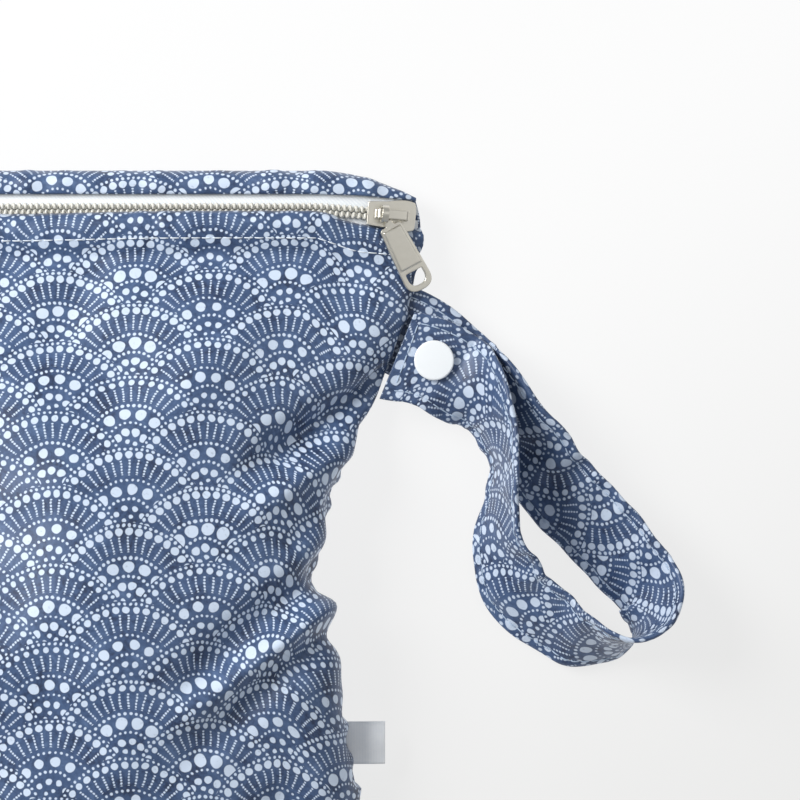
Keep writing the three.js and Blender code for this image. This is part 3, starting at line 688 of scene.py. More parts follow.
relief += HEM_PUCKER * ripple(front_x, front_y * 0.3, 7, 31, 0.0, 5.0) * hem_share
front_outer = front_outer + front_out * relief[..., None]
front_out = square_to(front_outer)
level = unit(front_out * (1, 1, 0))
at_seam = np.maximum(smooth(0.006, 0, side_near) * smooth(6, 14, below_hem), front_b == 0)
front_inner = front_outer - between(front_out, level, at_seam[..., None]) * CLOTH
middle = FRONT_COLUMNS // 2
front_u = arc_lengths(front_outer, 1)
front_u = front_u - front_u[:, middle:middle + 1]
front_v = front_along - front_along[-1:, :]
front_flat = np.stack([front_u, front_v + HALF_HEIGHT], -1)
front_mesh = cloth_mesh("front_cloth", front_outer, front_inner, front_flat)
front_cloth = finish_piece("front_cloth", front_mesh, "bag", ["front_panel"], body_print)

# Top band: the strip of cloth between the zip and the top, with its edge turned under along
# the tape and rolled over the top fold.
BAND_COLUMNS = 320
BAND_ROWS = 26
BAND_ROLL = 4.5
BAND_ROLL_SHARE = 0.7
BAND_FLAT_SHARE = 0.3
BAND_FULLNESS = 0.6
BAND_FULL_SHARE = 0.32
BAND_PUCKER = 0.22
BAND_MAP_START = 9
band_ways = np.sin(np.linspace(-math.pi / 2, math.pi / 2, BAND_COLUMNS))
band_a, band_b = np.meshgrid(band_ways, np.linspace(0, 1, BAND_ROWS))
band_low = zip_y(band_a) + beside_zip(band_a, TAPE_SHOWN_ABOVE)
band_top = top_y(band_a)
band_turn = np.minimum(BAND_ROLL, BAND_ROLL_SHARE * (band_top - band_low))
band_z_low = zip_z(band_a) + TAPE + FIT_GAP + CLOTH
band_z_top = rim_z(band_a, 1.0) + SEAM_GAP / 2
band_angle = np.clip((band_b - BAND_FLAT_SHARE) / (1 - BAND_FLAT_SHARE), 0, 1) * math.pi / 2
band_level_y = between(band_low, band_top - band_turn, band_b / BAND_FLAT_SHARE)
band_rolled_y = band_top - band_turn + band_turn * np.sin(band_angle)
band_y = np.where(band_b < BAND_FLAT_SHARE, band_level_y, band_rolled_y)
band_z = between(band_z_top, band_z_low, np.cos(band_angle))
band_x = band_a * side_x(band_a, up_at(band_a, band_y))
band_outer = np.stack([band_x, band_y, band_z], -1)
band_out = square_to(band_outer)
band_relief = BAND_PUCKER * ripple(band_x, band_y * 0.4, 11, 41, 0.0, 4.0)
band_relief *= smooth(0, 0.2, band_b) * smooth(1, 0.8, band_b)
band_relief += BAND_FULLNESS * quarter_round(band_b / BAND_FULL_SHARE) * smooth(1, 0.4, band_b)
band_outer = band_outer + band_out * band_relief[..., None]
band_way = band_out.copy()
band_way[-1] = (0, 1, 0)
band_inner = band_outer - band_way * CLOTH
band_flat = np.stack([band_x, arc_lengths(band_outer) + HALF_HEIGHT + BAND_MAP_START], -1)
band_mesh = cloth_mesh("band_cloth", band_outer, band_inner, band_flat)
band_cloth = finish_piece("band_cloth", band_mesh, "bag", ["top_band"], body_print)

# Zip tapes: white woven polyester, already the right shape in the frame.
tape_paint = Paint("woven tape", roughness=0.78, sheen_weight=0.15)
tape_paint.weave(tape_paint.solid_place(), "DIAGONAL", pitch=0.55, distortion=0.6, rib_share=0.5,
                 cloud_size=3.0, tones=(0.2, 0.7), dark=(0.82, 0.86, 0.90, 1),
                 light=(0.90, 0.93, 0.95, 1), relief=0.06)
for node in ("zip_tape_upper", "zip_tape_lower"):
    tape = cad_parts[node]
    tape.data.materials.clear()
    tape.data.materials.append(tape_paint.material)

# Zip coils: one nylon wire a side, wound flat and sewn on its tape, so that the turns' heads
# meet along the middle. The two part round the slider's post.
COIL_MESH = 0.1
COIL_ROW = 2.05
COIL_HEIGHT = 1.7
COIL_PITCH = 1.68
COIL_WIRE = 0.46
TURN_STEPS = 18
WIRE_SIDES = 7
POST_WIDTH = 0.9
COIL_END = 2.2
COIL_PARTING = 1.5
SLIDER_X = HALF_WIDTH - SLIDER_FROM_SIDE


def wire_mesh(name, route, radius, sides):
    """A round wire along a route of points, in millimetres, as a closed mesh."""
    route = np.asarray(route, float)
    ahead = unit(np.gradient(route, axis=0))
    off = np.empty_like(route)
    normal = np.cross(ahead[0], (0.3, 0.9, 0.31))
    for index, direction in enumerate(ahead):
        normal = normal - direction * (normal @ direction)
        normal /= np.linalg.norm(normal)
        off[index] = normal
    side = np.cross(ahead, off)
    angles = np.linspace(0, 2 * math.pi, sides, endpoint=False)
    radius = np.broadcast_to(radius, len(route))[:, None, None]
    ring = np.cos(angles)[None, :, None] * off[:, None] + np.sin(angles)[None, :, None] * side[:, None]
    points = (route[:, None] + ring * radius).reshape(-1, 3) * MM
    index = np.arange(len(route) * sides).reshape(len(route), sides)
    after = np.roll(index, -1, axis=1)
    quads = np.stack([index[:-1], after[:-1], after[1:], index[1:]], -1).reshape(-1, 4)
    faces = quads.tolist() + [index[0, ::-1].tolist(), index[-1].tolist()]
    mesh = bpy.data.meshes.new(name)
    mesh.from_pydata(points.tolist(), [], faces)
    return mesh


coil_paint = Paint("nylon coil", roughness=0.38, specular_ior_level=0.55)
coil_cloud = coil_paint.noise(coil_paint.solid_place(), 1.3, 2.0)
COIL_SHADE = (0.62, 0.60, 0.54, 1)
COIL_LIGHT = (0.80, 0.79, 0.73, 1)
coil_paint.put(coil_paint.mix(coil_cloud, COIL_SHADE, COIL_LIGHT), coil_paint.shader.inputs["Base Color"])


def coil_route(side):
    turns = int(2 * (HALF_WIDTH - COIL_END) / COIL_PITCH)
    turn = np.linspace(0, turns, turns * TURN_STEPS + 1)
    x = -HALF_WIDTH + COIL_END + turn * COIL_PITCH
    angle = 2 * math.pi * (turn + (0.5 if side > 0 else 0))
    reach = COIL_ROW / 2 - COIL_WIRE
    rise = COIL_HEIGHT / 2 - COIL_WIRE
    across = np.sign(np.cos(angle)) * np.abs(np.cos(angle)) ** 0.8 * reach
    height = np.sign(np.sin(angle)) * np.abs(np.sin(angle)) ** 0.7 * rise
    parted = POST_WIDTH / 2 + FIT_GAP
    spread = (COIL_MESH + parted) * smooth(SLIDER_X, SLIDER_X + COIL_PARTING, x)
    middle = COIL_ROW / 2 - COIL_MESH + spread
    y = zip_y(x / HALF_WIDTH) + side * (middle + across)
    z = zip_z(x / HALF_WIDTH) + TAPE + FIT_GAP + COIL_HEIGHT / 2 + height
    slant = COIL_PITCH * np.cos(angle) / (2 * math.pi)
    return np.stack([x + slant, y, z], -1)


for side, node in ((1, "zip_coil_upper"), (-1, "zip_coil_lower")):
    coil_name = node.replace("zip_", "")
    coil_mesh = wire_mesh(coil_name, coil_route(side), COIL_WIRE, WIRE_SIDES)
    finish_piece(coil_name, coil_mesh, "bag", [node], coil_paint.material)

# Slider: cast in one from zinc and plated, two plates joined by a post between the parted
# coils, flanges down both sides and a bridge over the top plate for the pull.
SLIDER_NARROW = 7.2
PLATE = 1.3
POST_LENGTH = 3
LOWER_PLATE_SHARE = 0.82
BRIDGE_LENGTH = 9.4
BRIDGE_WIDTH = 2.7
BRIDGE_BAR = 1.1
BRIDGE_LEG = 1.0
BRIDGE_BEND = 0.9
BRIDGE_FILLET = 0.3
BRIDGE_SINK = 0.5
EYE_WALL = 0.8
SLIDER_ROWS = (
    # along, half
    (-0.5, -0.9),
    (-0.46, -0.25),
    (-0.34, 0),
    (-0.1, 0.25),
    (0.12, 0.85),
    (0.28, 1),
    (0.42, 0.7),
    (0.5, -0.5),
)
PLATE_LOW = TAPE + FIT_GAP + COIL_HEIGHT + SLIDER_GAP
PLATE_TOP = PLATE_LOW + PLATE
EYE_INNER = math.hypot(BRIDGE_WIDTH, BRIDGE_BAR) / 2 + 0.35
EYE_OUTER = EYE_INNER + EYE_WALL
HINGE_Z = PLATE_TOP + EYE_OUTER + 0.4


def smooth_loop(points, steps=8):
    """A closed curve through points of the plane, as a finer list."""
    points = np.array(points, float)
    before, after, later = np.roll(points, 1, 0), np.roll(points, -1, 0), np.roll(points, -2, 0)
    made = []
    for t in np.linspace(0, 1, steps, endpoint=False):
        made.append(0.5 * (2 * points + (after - before) * t
                           + (2 * before - 5 * points + 4 * after - later) * t**2
                           + (3 * points - before - 3 * after + later) * t**3))
    return np.stack(made, 1).reshape(-1, 2)


def prism(outline, low, high, turn=None):
    """An upright solid on an outline of the plane, as a bmesh, turned by a matrix."""
    solid = bmesh.new()
    bottom = [solid.verts.new((x, y, low)) for x, y in outline]
    top = [solid.verts.new((x, y, high)) for x, y in outline]
    solid.faces.new(bottom[::-1])
    solid.faces.new(top)
    for index in range(len(outline)):
        ahead = (index + 1) % len(outline)
        solid.faces.new((bottom[index], bottom[ahead], top[ahead], top[index]))
    bmesh.ops.recalc_face_normals(solid, faces=solid.faces)
    if turn is not None:
        solid.transform(turn)
    return solid


def part_object(solid, name="part"):
    mesh = bpy.data.meshes.new(name)
    solid.to_mesh(mesh)
    solid.free()
    part = bpy.data.objects.new(name, mesh)
    scene.collection.objects.link(part)
    return part


def applied(part):
    """The object's mesh with its modifiers applied, in place of its own."""
    bpy.context.view_layer.update()
    graph = bpy.context.evaluated_depsgraph_get()
    mesh = bpy.data.meshes.new_from_object(part.evaluated_get(graph))
    part.modifiers.clear()
    part.data = mesh
    return part


def cast_metal(name, added, cut, grain, softening):
    """Solids joined and cut, then softened all over as a casting's edges and corners are."""
    first = part_object(added[0], name)
    for operation, solids in (("UNION", added[1:]), ("DIFFERENCE", cut)):
        for solid in solids:
            other = part_object(solid)
            join = first.modifiers.new("join", "BOOLEAN")
            join.object = other
            join.operation = operation
            join.solver = "EXACT"
            applied(first)
            bpy.data.objects.remove(other)
    grains = first.modifiers.new("grain", "REMESH")
    grains.mode = "VOXEL"
    grains.voxel_size = grain
    soften = first.modifiers.new("soften", "SMOOTH")
    soften.factor = 0.5
    soften.iterations = softening
    applied(first)
    return first


def box_loop(x1, x2, y1, y2):
    return [(x1, y1), (x2, y1), (x2, y2), (x1, y2)]


def slider_outline(scale=1.0):
    halves = [SLIDER_NARROW / 2 + half * (SLIDER_WIDE - SLIDER_NARROW) / 2 for _, half in SLIDER_ROWS]
    along = [share * SLIDER_LENGTH for share, _ in SLIDER_ROWS]
    lower = [(x * scale, -y * scale) for x, y in zip(along, halves)]
    upper = [(x * scale, y * scale) for x, y in zip(along, halves)][::-1]
    return lower + upper


def slider_solids():
    shape = smooth_loop(slider_outline(), 4)
    lower = smooth_loop(slider_outline(LOWER_PLATE_SHARE), 4)
    flange_low = TAPE + SLIDER_GAP
    channel = COIL_ROW + POST_WIDTH / 2 + FIT_GAP + SLIDER_GAP
    post_end = SLIDER_LENGTH * 0.38
    post = box_loop(post_end - POST_LENGTH, post_end, -POST_WIDTH / 2, POST_WIDTH / 2)
    foot = BRIDGE_LENGTH / 2
    inside = foot - BRIDGE_LEG
    high = HINGE_Z + BRIDGE_BAR / 2
    low = HINGE_Z - BRIDGE_BAR / 2
    bend = BRIDGE_BEND
    half_arch = [(inside - BRIDGE_FILLET, low), (inside, low - BRIDGE_FILLET),
                 (inside, PLATE_TOP - BRIDGE_SINK), (foot, PLATE_TOP - BRIDGE_SINK), (foot, high - bend),
                 (foot - bend * 0.3, high - bend * 0.3), (foot - bend, high)]
    arch = half_arch + [(-x, z) for x, z in half_arch[::-1]]
    upright = Matrix.Rotation(math.pi / 2, 4, "X")
    added = [
        prism(shape, flange_low, PLATE_TOP),
        prism(arch, -BRIDGE_WIDTH / 2, BRIDGE_WIDTH / 2, upright),
    ]
    cut = [prism(box_loop(-SLIDER_LENGTH, SLIDER_LENGTH, -channel, channel), flange_low - 1, PLATE_LOW)]
    under = [
        prism(post, -SLIDER_GAP - PLATE / 2, PLATE_LOW + PLATE / 2),
        prism(lower, -SLIDER_GAP - PLATE, -SLIDER_GAP),
    ]
    return added, cut, under


def metal_paint(name, tone, light):
    paint = Paint(name, metallic=1.0)
    place = paint.solid_place()
    cloud = paint.noise(place, 2.6, 3.0)
    grain = paint.noise(place, 0.16, 2.0)
    paint.put(paint.mix(cloud, tone, light), paint.shader.inputs["Base Color"])
    paint.put(paint.share(cloud, 0.2, 0.8, 0.28, 0.38), paint.shader.inputs["Roughness"])
    paint.bump(grain, 0.25, 0.03)
    return paint.material


slider_metal = metal_paint("plated zinc", (0.66, 0.63, 0.55, 1), (0.80, 0.77, 0.69, 1))
slope_step = 1 / HALF_WIDTH
slope_y = (zip_y(SLIDER_SHARE + slope_step) - zip_y(SLIDER_SHARE - slope_step)) / 2
slope_z = (zip_z(SLIDER_SHARE + slope_step) - zip_z(SLIDER_SHARE - slope_step)) / 2
slider_place = (Matrix.Translation((SLIDER_X, float(zip_y(SLIDER_SHARE)), float(zip_z(SLIDER_SHARE))))
                @ Matrix.Rotation(math.atan(slope_y), 4, "Z") @ Matrix.Rotation(-math.atan(slope_z), 4, "Y"))
to_metres = Matrix.Scale(MM, 4)

slider_added, slider_cut, slider_under = slider_solids()
slider = cast_metal("slider", slider_added, slider_cut, 0.1, 14)
under = cast_metal("slider_under", slider_under, [], 0.12, 4)
joined = bmesh.new()
joined.from_mesh(slider.data)
joined.from_mesh(under.data)
bpy.data.objects.remove(under)
joined.transform(to_metres @ slider_place)
joined.to_mesh(slider.data)
joined.free()
slider_mesh = slider.data
bpy.data.objects.remove(slider)
finish_piece("slider", slider_mesh, "bag", ["zip_slider"], slider_metal)

# Pull: cast in one, an eye round the bridge, a neck and a tapered tab with a raised middle and
# a hole in its rounded end. It swings on the slider's bridge.
EYE_WIDTH = 2
PULL_LENGTH = 24.6
PULL_TOP_WIDTH = 6.9
PULL_END_WIDTH = 8.8
PULL = 1.5
PULL_SKEW = 32.5
PULL_ALONG = -2.5
PULL_HOLE_WIDTH = 5.3
PULL_HOLE_HEIGHT = 4.2
PULL_REST_PITCH = 1.5
PANEL_RISE = 0.3
PANEL_SLOPE = 0.9
NECK_LENGTH = 1.2
END_ROUND_SHARE = 0.93
HOLE_ROUND_SHARE = 0.95
HOLE_FROM_END = 1.7


def rounded(points, radii, steps):
    """An outline with each corner rounded by an arc about its radius across."""
    made = []
    for index, radius in enumerate(radii):
        corner = np.array(points[index], float)
        before = np.array(points[index - 1], float) - corner
        after = np.array(points[(index + 1) % len(points)], float) - corner
        start = corner + before / np.linalg.norm(before) * radius
        end = corner + after / np.linalg.norm(after) * radius
        for t in np.linspace(0, 1, steps):
            made.append(start * (1 - t) ** 2 + corner * 2 * t * (1 - t) + end * t * t)
    return made


def ring_solid(outer, inner, width, steps=40):
    """A ring round the X axis."""
    ring = bmesh.new()
    turns = [2 * math.pi * k / steps for k in range(steps)]
    rings = []
    for radius, x in ((outer, -width / 2), (outer, width / 2), (inner, width / 2), (inner, -width / 2)):
        rings.append([ring.verts.new((x, radius * math.cos(t), radius * math.sin(t))) for t in turns])
    for first, second in zip(rings, rings[1:] + rings[:1]):
        for k in range(steps):
            ahead = (k + 1) % steps
            ring.faces.new((first[k], first[ahead], second[ahead], second[k]))
    bmesh.ops.recalc_face_normals(ring, faces=ring.faces)
    return ring


def both_sides(right):
    """An outline across from its right side's points, with the same points mirrored."""
    return [(-x, y) for x, y in right] + right[::-1]


def pull_solids():
    skew = Matrix.Rotation(math.radians(PULL_SKEW), 4, "Z")
    low = -EYE_OUTER
    tab_top = low - NECK_LENGTH
    half_top, half_end = PULL_TOP_WIDTH / 2, PULL_END_WIDTH / 2
    end_round = half_end * END_ROUND_SHARE
    tab = rounded(both_sides([(half_top, tab_top), (half_end, -PULL_LENGTH)]),
                  (1.2, end_round, end_round, 1.2), 12)
    hole_y = -PULL_LENGTH + HOLE_FROM_END + PULL_HOLE_HEIGHT
    hole_half = PULL_HOLE_WIDTH / 2
    hole_round = hole_half * HOLE_ROUND_SHARE
    hole = rounded(both_sides([(hole_half, hole_y), (hole_half, hole_y - PULL_HOLE_HEIGHT)]),
                   (0.3, hole_round, hole_round, 0.3), 10)
    panel = both_sides([(half_top - 0.5, tab_top - 0.5), (half_end - 0.75, hole_y + 0.9)])
    neck = both_sides([(EYE_WIDTH / 2, -EYE_INNER - EYE_WALL * 0.4), (EYE_WIDTH / 2 + 0.5, tab_top - 0.6)])
    raised = prism(panel, low + PULL * 0.5, low + PULL + PANEL_RISE)
    top = [vertex for vertex in raised.verts if vertex.co.z > low + PULL]
    middle = Vector((0, sum(vertex.co.y for vertex in top) / len(top), 0))
    for vertex in top:
        inward = middle - Vector((vertex.co.x, vertex.co.y, 0))
        vertex.co += inward.normalized() * PANEL_SLOPE
    raised.transform(skew)
    added = [ring_solid(EYE_OUTER, EYE_INNER, EYE_WIDTH), prism(neck, low, low + PULL, skew),
             prism(tab, low, low + PULL, skew), raised]
    cut = [prism(hole, low - 1, low + PULL + 1, skew)]
    return added, cut


pull_added, pull_cut = pull_solids()
pull = cast_metal("pull", pull_added, pull_cut, 0.1, 12)
pull_place = (slider_place @ Matrix.Translation((PULL_ALONG, 0, HINGE_Z))
              @ Matrix.Rotation(math.radians(PULL_REST_PITCH), 4, "X"))
pull.data.transform(to_metres @ pull_place)
pull_mesh = pull.data
bpy.data.objects.remove(pull)
finish_piece("pull", pull_mesh, "pull", ["zip_pull"], slider_metal)

# Wrist strap: a doubled band of the printed cloth, turned in and topstitched along both edges,
# sewn in the side seam, looped and snapped back over its own root.
STRAP_REACH = 84
SEWN_IN = 4
SNAP_CORE_HEIGHT = 2.1
STRAP_STEPS = 760
STRAP_STITCH = 3.0
STRAP_EDGE_SHARE = 0.84
STRAP_WAVE = 0.28
STRAP_SIDE_WAVE = 0.22
STRAP_PUCKER = 0.10
STRAP_DRAG = 0.16
STRAP_CURL = -0.5
STITCH_PINCH = 0.34
END_SKEW = -0.22
STRAP_ROWS = (
    # reach, across, height, lean
    (0.169, -0.121, 0.258, 0),
    (0.21, -0.155, 0.265, 11),
    (0.257, -0.184, 0.299, 24),
    (0.295, -0.21, 0.352, 35),
    (0.333, -0.247, 0.39, 41),
    (0.376, -0.299, 0.409, 44),
    (0.428, -0.376, 0.413, 44),
    (0.474, -0.444, 0.364, 37),
    (0.532, -0.528, 0.307, 29),
    (0.7, -0.708, 0.311, 30),
    (0.775, -0.788, 0.333, 33),
    (0.835, -0.861, 0.364, 38),
    (0.864, -0.905, 0.402, 43),
    (0.87, -0.953, 0.451, 52),
    (0.855, -1.007, 0.515, 68),
    (0.816, -1.057, 0.553, 88),
    (0.751, -1.078, 0.538, 106),
    (0.635, -1.068, 0.47, 125),
    (0.551, -1.03, 0.428, 133),
    (0.483, -0.977, 0.405, 137),
    (0.403, -0.9, 0.398, 138),
    (0.355, -0.787, 0.447, 130),
    (0.342, -0.682, 0.508, 117),
    (0.351, -0.574, 0.545, 107),
    (0.349, -0.44, 0.568, 107),
    (0.338, -0.387, 0.576, 112),
    (0.321, -0.328, 0.568, 118),
    (0.299, -0.277, 0.553, 126),
    (0.263, -0.227, 0.515, 140),
    (0.222, -0.186, 0.455, 163),
    (0.177, -0.153, 0.42, 180),
)
ROOT_ROWS = (
    # reach, across, rise, lean
    (-SEWN_IN / STRAP_REACH, SEWN_IN / STRAP_REACH / 2.7, 0, 0),
    (0, 0, 0, 0),
    (0.046, -0.023, 0, 0),
    (0.091, -0.052, 0, 0),
    (0.129, -0.085, 0, 0),
)
TOP_LAYER_RISE = STRAP + 2 * FIT_GAP + SNAP_CORE_HEIGHT
END_ROWS = (
    # reach, across, rise, lean
    (0.132, -0.125, TOP_LAYER_RISE, 180),
    (0.07, -0.101, TOP_LAYER_RISE, 180),
    (-0.016, -0.086, TOP_LAYER_RISE, 180),
)


def seam_point(share):
    y = between(bottom_y(1.0), top_y(1.0), share)
    return np.array([side_x(1.0, share), y, rim_z(1.0, share)], float)


strap_root = seam_point(STRAP_SHARE)


def strap_knots():
    knots = []
    for reach, across, rise, _ in ROOT_ROWS:
        knots.append(strap_root + (reach * STRAP_REACH, across * STRAP_REACH, rise))
    for reach, across, height, _ in STRAP_ROWS:
        knots.append((strap_root[0] + reach * STRAP_REACH, strap_root[1] + across * STRAP_REACH,
                      height * STRAP_WIDTH))
    for reach, across, rise, _ in END_ROWS:
        knots.append(strap_root + (reach * STRAP_REACH, across * STRAP_REACH, rise))
    return np.array(knots)


def curve_through(knots, steps):
    """Evenly spaced points of a centripetal curve through knots, the knot number at each and
    how far along each is."""
    ends = np.vstack([2 * knots[0] - knots[1], knots, 2 * knots[-1] - knots[-2]])
    fine, number = [], []
    for k in range(1, len(ends) - 2):
        p0, p1, p2, p3 = ends[k - 1:k + 3]
        d0, d1, d2 = (math.sqrt(np.linalg.norm(b - a)) for a, b in ((p0, p1), (p1, p2), (p2, p3)))
        slope1 = ((p1 - p0) / d0 - (p2 - p0) / (d0 + d1) + (p2 - p1) / d1) * d1
        slope2 = ((p2 - p1) / d1 - (p3 - p1) / (d1 + d2) + (p3 - p2) / d2) * d1
        for t in np.linspace(0, 1, 60, endpoint=k == len(ends) - 3):
            fine.append(eased(p1, slope1, p2, slope2, t))
            number.append(k - 1 + t)
    fine = np.array(fine)
    length = arc_lengths(fine)
    even = np.linspace(0, length[-1], steps)
    return points_at(even, length, fine), np.interp(even, length, number), even


strap_line, strap_number, strap_along = curve_through(strap_knots(), STRAP_STEPS)
lean_rows = [(index, row[3]) for index, row in enumerate(ROOT_ROWS + STRAP_ROWS + END_ROWS)]
strap_lean = np.radians(column_at(lean_rows, 1, strap_number))
strap_ahead = unit(np.gradient(strap_line, axis=0))
strap_left = unit(np.stack([-strap_ahead[:, 1], strap_ahead[:, 0], np.zeros(STRAP_STEPS)], -1))
strap_up = np.cross(strap_ahead, strap_left)
strap_across = np.cos(strap_lean)[:, None] * strap_left + np.sin(strap_lean)[:, None] * strap_up
strap_off = unit(np.cross(strap_ahead, strap_across))


def strap_section():
    """Places across the doubled band, out along one face and back along the other."""
    half = STRAP_WIDTH / 2
    edge = STRAP / 2
    across = np.concatenate([np.linspace(-half + edge, -half + STRAP_STITCH + 1.4, 9),
                             np.linspace(-half + STRAP_STITCH + 2.6, half - STRAP_STITCH - 2.6, 9),
                             np.linspace(half - STRAP_STITCH - 1.4, half - edge, 9)])
    turn = np.linspace(-math.pi / 2, math.pi / 2, 7)[1:-1]
    rows = [(a, 1.0, 1.0) for a in across]
    rows += [(half - edge + edge * math.cos(t), -math.sin(t), 0.0) for t in turn]
    rows += [(a, -1.0, 1.0) for a in across[::-1]]
    rows += [(-half + edge - edge * math.cos(t), math.sin(t), 0.0) for t in turn]
    return np.array(rows)


def strap_offset(across, face):
    """How far a place on the band's face is off its middle: full, but pinched at the stitches."""
    away = STRAP_WIDTH / 2 - np.abs(across)
    pinch = np.exp(-(((away - STRAP_STITCH) / 0.75) ** 2))
    body = between(STRAP_EDGE_SHARE, 1.0, np.exp(-(((away - 1.2) / 1.4) ** 2)))
    return face * STRAP / 2 * (body - STITCH_PINCH * pinch)


def strap_surface():
    """The grid of the strap's points, and its section's places across and off the middle."""
    across, face, flat_face = strap_section().T
    thick = np.where(flat_face > 0, strap_offset(across, face), face * STRAP / 2)
    away = STRAP_WIDTH / 2 - np.abs(across)
    reached = strap_along / strap_along[-1]
    loose = smooth(0.06, 0.14, reached) * smooth(0.93, 0.85, reached)
    level = np.zeros_like(strap_along)
    wave = STRAP_WAVE * ripple(strap_along, level, 15, 61, 0.0, 9.0) * loose
    side_wave = STRAP_SIDE_WAVE * ripple(strap_along, level, 21, 62, 0.0, 9.0) * loose
    grid_along = np.repeat(strap_along[:, None], len(across), 1)
    grid_across = np.repeat(across[None], STRAP_STEPS, 0)
    near_stitch = np.exp(-(((away - STRAP_STITCH) / 2.2) ** 2))[None]
    pucker = STRAP_PUCKER * ripple(grid_along, grid_across * 0.5, 5.5, 63, 0.0, 3.0) * near_stitch
    drag = STRAP_DRAG * ripple(grid_along, grid_across * 1.6, 16, 64, 0.5, 1.6) * loose[:, None]
    edge = (np.abs(grid_across) / (STRAP_WIDTH / 2)) ** 4
    curl = STRAP_CURL * edge * np.sin(strap_along / 23)[:, None] * loose[:, None]
    thickness = thick[None] + wave[:, None] + pucker + drag + curl
    sideways = grid_across + side_wave[:, None]
    skewed = grid_across * END_SKEW * smooth(0.9, 1.0, reached)[:, None]
    points = (strap_line[:, None] + strap_across[:, None] * sideways[..., None]
              + strap_ahead[:, None] * skewed[..., None]
              + strap_off[:, None] * thickness[..., None])
    return points, across, thick


strap_points, section_across, section_thick = strap_surface()
sides = strap_points.shape[1]
strap_index = np.arange(STRAP_STEPS * sides).reshape(STRAP_STEPS, sides)
strap_next = np.roll(strap_index, -1, axis=1)
strap_quads = np.stack([strap_index[:-1], strap_index[1:], strap_next[1:], strap_next[:-1]], -1)
strap_faces = strap_quads.reshape(-1, 4).tolist()
strap_faces += [strap_index[0].tolist(), strap_index[-1, ::-1].tolist()]
strap_mesh = bpy.data.meshes.new("strap_cloth")
strap_mesh.from_pydata((strap_points.reshape(-1, 3) * MM).tolist(), [], strap_faces)
section = np.stack([section_across, section_thick], -1)
round_flat = arc_lengths(np.vstack([section, section[:1]]))
strap_layer = strap_mesh.uv_layers.new(name="flat")
strap_uv = np.zeros((len(strap_mesh.loops), 2))
u_now, v_now = np.meshgrid(round_flat[:-1], strap_along[:-1])
u_next, v_next = np.meshgrid(round_flat[1:], strap_along[1:])
quad_corners = ((u_now, v_now), (u_now, v_next), (u_next, v_next), (u_next, v_now))
quad_uv = np.stack([np.stack(corner, -1) for corner in quad_corners], 2)
strap_uv[:quad_uv.size // 2] = quad_uv.reshape(-1, 2) * MM
strap_layer.data.foreach_set("uv", strap_uv.ravel())
# The strap's copy of the printed cloth is darkened by 0.18 towards the darkest denim as painted shade.
strap_cloth = finish_piece("strap_cloth", strap_mesh, "bag", ["wrist_strap"],
                           printed_cloth("strap cloth in painted shade", 0.18))

# Stitching: white thread along the hem, pale blue thread along the strap's edges and its end.
STITCH = 2.8
STITCH_GAP = 0.25
STITCH_SINK = 0.05
STITCH_STEPS = 7
THREAD = 0.2


def stitch_mesh(name, route, normals):
    """Stitches along a route on the cloth, each a thread that dips into it at both ends."""
    length = arc_lengths(route)
    solid = bmesh.new()
    bow = np.sin(np.linspace(0, math.pi, STITCH_STEPS)) ** 0.5
    rise = THREAD * 1.15 * bow - STITCH_SINK - THREAD * 0.6 * (1 - bow)
    for start in np.arange(0.5, length[-1] - STITCH, STITCH + STITCH_GAP):
        at = np.linspace(start, start + STITCH, STITCH_STEPS)
        line = points_at(at, length, route) + points_at(at, length, normals) * rise[:, None]
        stitch = wire_mesh("stitch", line, THREAD * (0.55 + 0.45 * bow), 6)
        solid.from_mesh(stitch)
        bpy.data.meshes.remove(stitch)
    mesh = bpy.data.meshes.new(name)
    solid.to_mesh(mesh)
    solid.free()
    return mesh


def along_hem(grid):
    """A grid's values where each of its columns crosses the hem's line of stitches."""
    columns = range(2, FRONT_COLUMNS - 2)
    return np.array([points_at(HEM_STITCH, below_hem[::-1, c], grid[::-1, c]) for c in columns])


white_thread = Paint("white thread", roughness=0.6, base_color=(0.80, 0.86, 0.92, 1))
hem_stitches = stitch_mesh("hem_stitching", along_hem(front_outer), along_hem(front_out))
hem_stitching = finish_piece("hem_stitching", hem_stitches, "bag", [],
                             white_thread.material)

strap_routes = []
for face in (1, -1):
    for edge in (-1, 1):
        target = edge * (STRAP_WIDTH / 2 - STRAP_STITCH)
        other_face = np.sign(section_thick) != face
        nearest = np.argmin(np.abs(section_across - target) + 100 * other_face)
        strap_routes.append((strap_points[8:-8, nearest], strap_off[8:-8] * face))
end_row = int(np.searchsorted(strap_along, strap_along[-1] - STRAP_STITCH))
end_spots = (np.sign(section_thick) == -1) & (np.abs(section_across) < STRAP_WIDTH / 2 - STRAP_STITCH)
end_route = strap_points[end_row, end_spots]
strap_routes.append((end_route, np.repeat(-strap_off[end_row][None], len(end_route), 0)))

strap_threads = bmesh.new()
for route, normals in strap_routes:
    stitches = stitch_mesh("strap_line", route, normals)
    strap_threads.from_mesh(stitches)
    bpy.data.meshes.remove(stitches)
strap_stitches = bpy.data.meshes.new("strap_stitching")
strap_threads.to_mesh(strap_stitches)
strap_threads.free()
blue_thread = Paint("pale blue thread", roughness=0.6, base_color=(0.42, 0.52, 0.66, 1))
strap_stitching = finish_piece("strap_stitching", strap_stitches, "bag", [],
                               blue_thread.material)

# Snap: three discs of white plastic, pressed together through both layers of the strap.
SNAP_DIAMETER = 11.6
SNAP_CAP_HEIGHT = 1.7
SNAP_CORE_DIAMETER = 8
SNAP_ALONG = 9.4
SNAP_BELOW = 8.6
SNAP_BACK_WIDTH_SHARE = 0.9
SNAP_BACK_HEIGHT_SHARE = 0.8
CAP_EDGE = 0.55
CAP_WALL_SHARE = 0.62
CAP_ROUND_SHARE = 0.3


